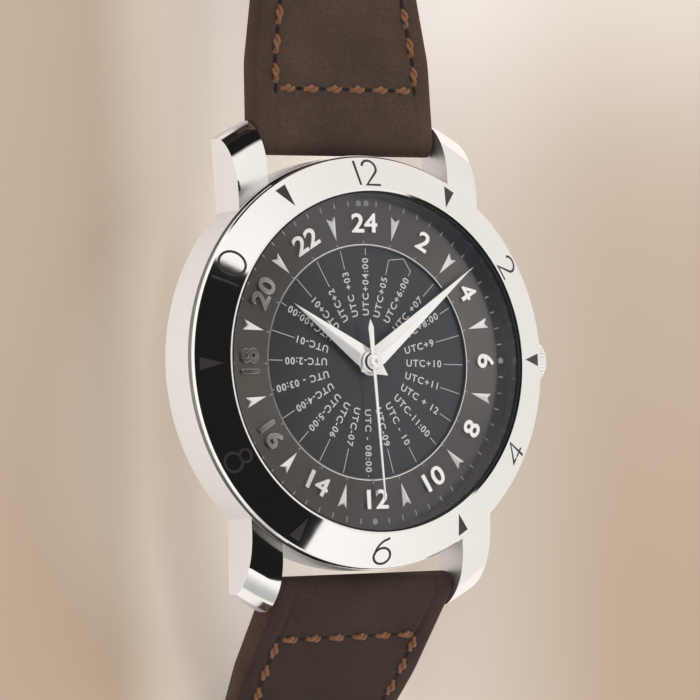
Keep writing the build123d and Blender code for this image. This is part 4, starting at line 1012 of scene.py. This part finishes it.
def sew(name, middle, body, rounded, last):
    """Both long seams of a strap half, and the seam across it near the lugs."""
    threads = bmesh.new()
    # The stitch holes are flat dark patches of painted shade.
    holes = bmesh.new()
    gap = (STITCH_PITCH - STITCH_LENGTH) / 2

    def one_stitch(first, second, before, after):
        """A stitch between two places, each a length, an x and a height, and by it the holes' painted shade
        as flat dark patches.
        """
        start, end = (middle.carry(*place) for place in (first, second))
        run = middle.at(first[0])[1]
        lift = Vector((0, -run.y * middle.direction, run.x))
        stitch(threads, start, end, lift)
        run = (end - start).normalized()
        aside = run.cross(lift).normalized()
        long, wide = STITCH_HOLE
        ends = [start - run * gap * MM] * before + [end + run * gap * MM] * after
        for at in ends:
            centre = at + lift * (STITCH_SINK + HOLE_LIFT) * MM
            holes.faces.new([
                holes.verts.new(centre + (run * math.cos(turn) * long + aside * math.sin(turn) * wide) * MM)
                for turn in turns_round(HOLE_SIDES)
            ])

    def surface(length):
        """The height of the sunk seam above the middle line."""
        return middle.half_thickness(length) - STITCH_SINK

    count = int((last - FIRST_ROW) / STITCH_PITCH)
    pitch = (last - FIRST_ROW) / count
    for side in (-1, 1):
        for index in range(count):
            start = FIRST_ROW + index * pitch + gap
            end = FIRST_ROW + (index + 1) * pitch - gap
            seam = [side * (half_width(middle, at, rounded) - STITCH_INSET) for at in (start, end)]
            final = index == count - 1
            one_stitch((start, seam[0], surface(start)), (end, seam[1], surface(end)), True, final)
    row_half = half_width(middle, FIRST_ROW, rounded) - STITCH_INSET
    across = round(2 * row_half / STITCH_PITCH)
    step = 2 * row_half / across
    for index in range(across):
        left = -row_half + index * step + gap
        level = surface(FIRST_ROW)
        right = left + step - 2 * gap
        one_stitch((FIRST_ROW, left, level), (FIRST_ROW, right, level), index > 0, False)
    mesh = finish_mesh(threads, name + "_stitches")
    add_piece(mesh.name, mesh, [THREAD], body)
    # The stitch holes' painted shade, as one piece of flat dark patches.
    mesh = finish_mesh(holes, name + "_painted_hole_shades")
    add_piece(mesh.name, mesh, [HOLE_PAINTED_SHADE], body, False)


def strap_halves():
    """Both strap halves with their seams."""
    middle, mesh = strap_mesh("strap_buckle_half", STRAP_UPPER, 1, False)
    mesh = cut(mesh, slot_cutter(middle), "strap_buckle_half")
    upper = add_piece("strap_buckle_half", mesh, [LEATHER, LEATHER_EDGE], "strap_upper")
    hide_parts("strap_upper")
    sew("strap_buckle_half", middle, "strap_upper", False, middle.length - SEAM_END_UPPER)
    middle, mesh = strap_mesh("strap_tail_half", STRAP_LOWER, -1, True)
    mesh = cut(mesh, hole_cutter(middle), "strap_tail_half")
    # The half at 6 o'clock takes the darker nubuck copy, which is painted shade.
    lower = add_piece("strap_tail_half", mesh, [LEATHER_PAINTED_SHADE, LEATHER_EDGE], "strap_lower")
    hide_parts("strap_lower")
    sew("strap_tail_half", middle, "strap_lower", True, middle.length - SEAM_END_LOWER)


strap_halves()


# Keepers: leather loops with rounded corners and edges
KEEPER_WALL = 0.8
KEEPER_CORNER = 1.2
KEEPER_EDGE = 0.2
KEEPER_CORNER_STEPS = 5


def rounded_box(width, height, corner):
    """Points round a rectangle with round corners, given by its half width and half height."""
    points = []
    for side_x, side_y, start in ((1, 1, 0), (-1, 1, 90), (-1, -1, 180), (1, -1, 270)):
        centre = (side_x * (width - corner), side_y * (height - corner))
        points += arc(centre, (corner, corner), start, start + 90, KEEPER_CORNER_STEPS)
    return points


def keeper(name, node, body):
    """One keeper, fitted to its solid's box."""
    low, high = (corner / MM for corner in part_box(node))
    middle = (low + high) / 2
    half = (high - low) / 2
    build = bmesh.new()
    rows = []
    flat = half.y - KEEPER_EDGE
    outer = [(half.y, KEEPER_EDGE), (flat, 0.0), (-flat, 0.0), (-half.y, KEEPER_EDGE)]
    inner = [(depth, KEEPER_WALL - inset) for depth, inset in reversed(outer)]
    for depth, inset in outer + inner:
        ring = rounded_box(half.x - inset, half.z - inset, KEEPER_CORNER - inset)
        places = [Vector((middle.x + x, middle.y + depth, middle.z + z)) for x, z in ring]
        rows.append([build.verts.new(place * MM) for place in places])
    skin(build, rows + rows[:1])
    piece = add_piece(name, finish_mesh(build, name), [LEATHER], body)
    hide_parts(node)


keeper("keeper_fixed", "fixed_keeper", "strap_upper")
keeper("keeper_sliding", "sliding_keeper", "sliding_keeper")


# Studio: a pale floor, one soft lamp, and a surround with a dark panel for the polished steel to show
FLOOR_SIZE = 2500.0
FLOOR_NEAR = colour(190, 168, 146)
FLOOR_FAR = colour(196, 176, 157)
FLOOR_LIT = colour(242, 234, 227)
FLOOR_GLOW = colour(255, 239, 222)
FLOOR_MIRRORED = colour(252, 248, 244)
FLOOR_DARK = colour(30, 27, 25)
FLOOR_EMITTED = colour(255, 250, 245)
FLOOR_SHEEN = 0.09
FLOOR_RISE = (-32.0, 12.0)

# The floor's patches of light: the places over which each one fades, and its strength
BAND_MIDDLE = 16.0
BAND_FADE = (0.0, 30.0)
BAND_LIGHT = 0.5
SIDE_RISE = (2.0, 46.0)
SIDE_CURVE = 1.9
SIDE_FADE = (-16.0, 16.0)
SIDE_LIGHT = 0.7
PATCH_FADE = (70.0, 160.0)
STRAP_FADE = (8.0, 20.0)
STRAP_LIGHT = 1.1
CASE_FADE = (14.0, 30.0)
CASE_LIGHT = 0.55
CASE_LIGHT_Y = -8.0
LEFT_FADE = (10.0, 20.0)

# Where steel sees the floor dark, and where the floor shows by itself
DARK_FLOOR_RISE = (58.0, 70.0)
DARK_FLOOR_RUN = 0.64
DARK_FLOOR_SIDE = (-22.0, -12.0)
UNDER_LEFT = (-12.0, -2.0)
UNDER_RIGHT = (8.0, 16.0)
UNDER_FADE = (40.0, 70.0)
UNDER_LIGHT = 0.3


def away_from(nodes, x, y, centre_y):
    """The distance from a place on the watch's long axis."""
    over = nodes.math("SUBTRACT", y, centre_y * MM)
    return nodes.math("SQRT", nodes.math("ADD", nodes.math("POWER", x, 2.0), nodes.math("POWER", over, 2.0)))


def floor_tone(nodes):
    """The floor paper's colour: beige, with soft patches of painted light round the watch, the nearest of
    which lighten its shadow.
    """
    x, y = nodes.parts(nodes.object_place())[:2]
    away = nodes.math("ABSOLUTE", nodes.math("SUBTRACT", x, BAND_MIDDLE * MM))
    band = nodes.fade(away, BAND_FADE, BAND_LIGHT, 0.0)
    climb = nodes.math("POWER", nodes.fade(y, SIDE_RISE), SIDE_CURVE)
    side = nodes.math("MULTIPLY", climb, nodes.fade(x, SIDE_FADE, 0.0, SIDE_LIGHT))
    patch = nodes.fade(away_from(nodes, x, y, 0.0), PATCH_FADE, 1.0, 0.0)
    glow = nodes.math("MULTIPLY", nodes.math("ADD", band, side), patch, True)
    # Painted light beside the strap and round the case, which lightens the watch's shadow on the floor
    # there.
    strap = nodes.fade(nodes.math("ABSOLUTE", x), STRAP_FADE, STRAP_LIGHT, 0.0)
    strap = nodes.math("MULTIPLY", strap, patch)
    case = nodes.fade(away_from(nodes, x, y, CASE_LIGHT_Y), CASE_FADE, CASE_LIGHT, 0.0)
    near = nodes.math("ADD", strap, case, True)
    left = nodes.math("MULTIPLY", near, nodes.fade(x, LEFT_FADE, 1.0, 0.0))
    base = nodes.mix(nodes.fade(y, FLOOR_RISE), FLOOR_NEAR, FLOOR_FAR)
    return nodes.mix(left, nodes.mix(glow, base, FLOOR_LIT), FLOOR_GLOW)


def dark_floor(nodes):
    """Where polished steel sees the floor dark: well behind 12 o'clock, left of a slanting line."""
    x, y = nodes.parts(nodes.object_place())[:2]
    side = nodes.math("SUBTRACT", x, nodes.math("MULTIPLY", y, DARK_FLOOR_RUN))
    left = nodes.fade(side, DARK_FLOOR_SIDE, 1.0, 0.0)
    return nodes.math("MULTIPLY", left, nodes.fade(y, DARK_FLOOR_RISE))


def under_light(nodes):
    """How strongly the floor under the watch shows by itself, which lightens the shadow there."""
    x, y = nodes.parts(nodes.object_place())[:2]
    sides = nodes.math("MULTIPLY", nodes.fade(x, UNDER_LEFT), nodes.fade(x, UNDER_RIGHT, 1.0, 0.0))
    reach = nodes.fade(away_from(nodes, x, y, 0.0), UNDER_FADE, UNDER_LIGHT, 0.0)
    return nodes.math("MULTIPLY", sides, reach)


def floor():
    """A pale paper floor. Polished steel sees it white, and dark well behind 12 o'clock."""
    build = bmesh.new()
    half = FLOOR_SIZE / 2
    corners = [(-half, -half), (half, -half), (half, half), (-half, half)]
    build.faces.new([build.verts.new(Vector((x, y, FLOOR_Z)) * MM) for x, y in corners])
    mesh = finish_mesh(build, "floor")
    new, nodes, shader = material(
        "floor_paper", Roughness=0.9, Specular_IOR_Level=0.1, Emission_Color=FLOOR_EMITTED
    )
    dark = dark_floor(nodes)
    path = nodes.make("ShaderNodeLightPath")
    glossy = path.outputs["Is Glossy Ray"]
    mirrored = nodes.mix(dark, FLOOR_MIRRORED, FLOOR_DARK)
    nodes.put(shader.inputs["Base Color"], nodes.mix(glossy, floor_tone(nodes), mirrored))
    mirror = nodes.math("MULTIPLY", glossy, nodes.ramp(dark, 0.0, 1.0, FLOOR_SHEEN, 0.0))
    seen = nodes.math("ADD", path.outputs["Is Camera Ray"], glossy)
    under = nodes.math("MULTIPLY", seen, under_light(nodes))
    nodes.put(shader.inputs["Emission Strength"], nodes.math("ADD", mirror, under))
    mesh.materials.append(new)
    piece = new_object("floor", mesh)


def lamp(name, place, size, power):
    """A soft square lamp aimed at the watch."""
    data = bpy.data.lights.new(name, "AREA")
    data.shape = "SQUARE"
    data.size = size * MM
    data.energy = power
    lamp_object = new_object(name, data)
    lamp_object.location = Vector(place) * MM
    lamp_object.rotation_euler = (-Vector(place)).to_track_quat("-Z", "Y").to_euler()
    lamp_object.visible_glossy = False


# The dark panel overhead, as x / z and y / z of its corners seen from the watch
PANEL = (
    (-0.7, 0.53), (0.2, 0.53), (0.618, 0.085), (0.618, -0.3), (0.3, -0.88), (0.18, -1.14), (-0.7, -1.14),
)
PANEL_SOFT = 0.012
HORIZON = 0.05

# The rest of the surround, by direction from the watch, and the tint that all but glossy rays get
BEHIND = (0.86, 0.92)
FRONT = (0.8, 1.0)
TILT = (-0.3, 0.9)
TILT_RUN = 0.4
WHITE_LEFT = (1.14, 1.13, 1.12, 1.0)
WHITE_RIGHT = (0.93, 0.90, 0.87, 1.0)
FRONT_GREY = (0.55, 0.55, 0.55, 1.0)
SURROUND_DARK = (0.012, 0.011, 0.010, 1.0)
WORLD_TINT = (0.86, 0.85, 0.84, 1.0)


def panel_mask(nodes, across, along):
    """One inside the dark panel and zero outside, from the distance to each of its sides."""
    mask = None
    for (x0, y0), (x1, y1) in zip(PANEL, PANEL[1:] + PANEL[:1]):
        length = math.hypot(x1 - x0, y1 - y0)
        a, b = (y0 - y1) / length, (x1 - x0) / length
        part = nodes.math("ADD", nodes.math("MULTIPLY", across, a), nodes.math("MULTIPLY", along, b))
        inside = nodes.ramp(part, a * x0 + b * y0 - PANEL_SOFT, a * x0 + b * y0 + PANEL_SOFT, 1.0, 0.0)
        mask = inside if mask is None else nodes.math("MULTIPLY", mask, inside)
    return mask


def surround():
    """A white surround. Steel sees it dark overhead and behind 12 o'clock, and grey before 6 o'clock."""
    world = bpy.data.worlds.new("surround")
    world.use_nodes = True
    nodes = Nodes(world.node_tree)
    background = world.node_tree.nodes["Background"]
    direction = nodes.make("ShaderNodeTexCoord").outputs["Generated"]
    x, y, z = nodes.parts(direction)
    up = nodes.math("MAXIMUM", z, HORIZON)
    above = panel_mask(nodes, nodes.math("DIVIDE", x, up), nodes.math("DIVIDE", y, up))
    behind = nodes.ramp(y, *BEHIND)
    dark = nodes.math("MAXIMUM", above, behind)
    front = nodes.ramp(nodes.math("MULTIPLY", y, -1.0), *FRONT)
    tilt = nodes.ramp(nodes.math("ADD", x, nodes.math("MULTIPLY", y, TILT_RUN)), *TILT)
    white = nodes.mix(front, nodes.mix(tilt, WHITE_LEFT, WHITE_RIGHT), FRONT_GREY)
    shown = nodes.mix(dark, white, SURROUND_DARK)
    path = nodes.make("ShaderNodeLightPath")
    nodes.put(background.inputs["Color"], nodes.mix(path.outputs["Is Glossy Ray"], WORLD_TINT, shown))
    bpy.context.scene.world = world


KEY_PLACE = (60.0, 240.0, 480.0)
KEY_SIZE = 380.0
KEY_POWER = 0.8

floor()
surround()
lamp("key", KEY_PLACE, KEY_SIZE, KEY_POWER)

bpy.context.scene.view_settings.view_transform = "Standard"
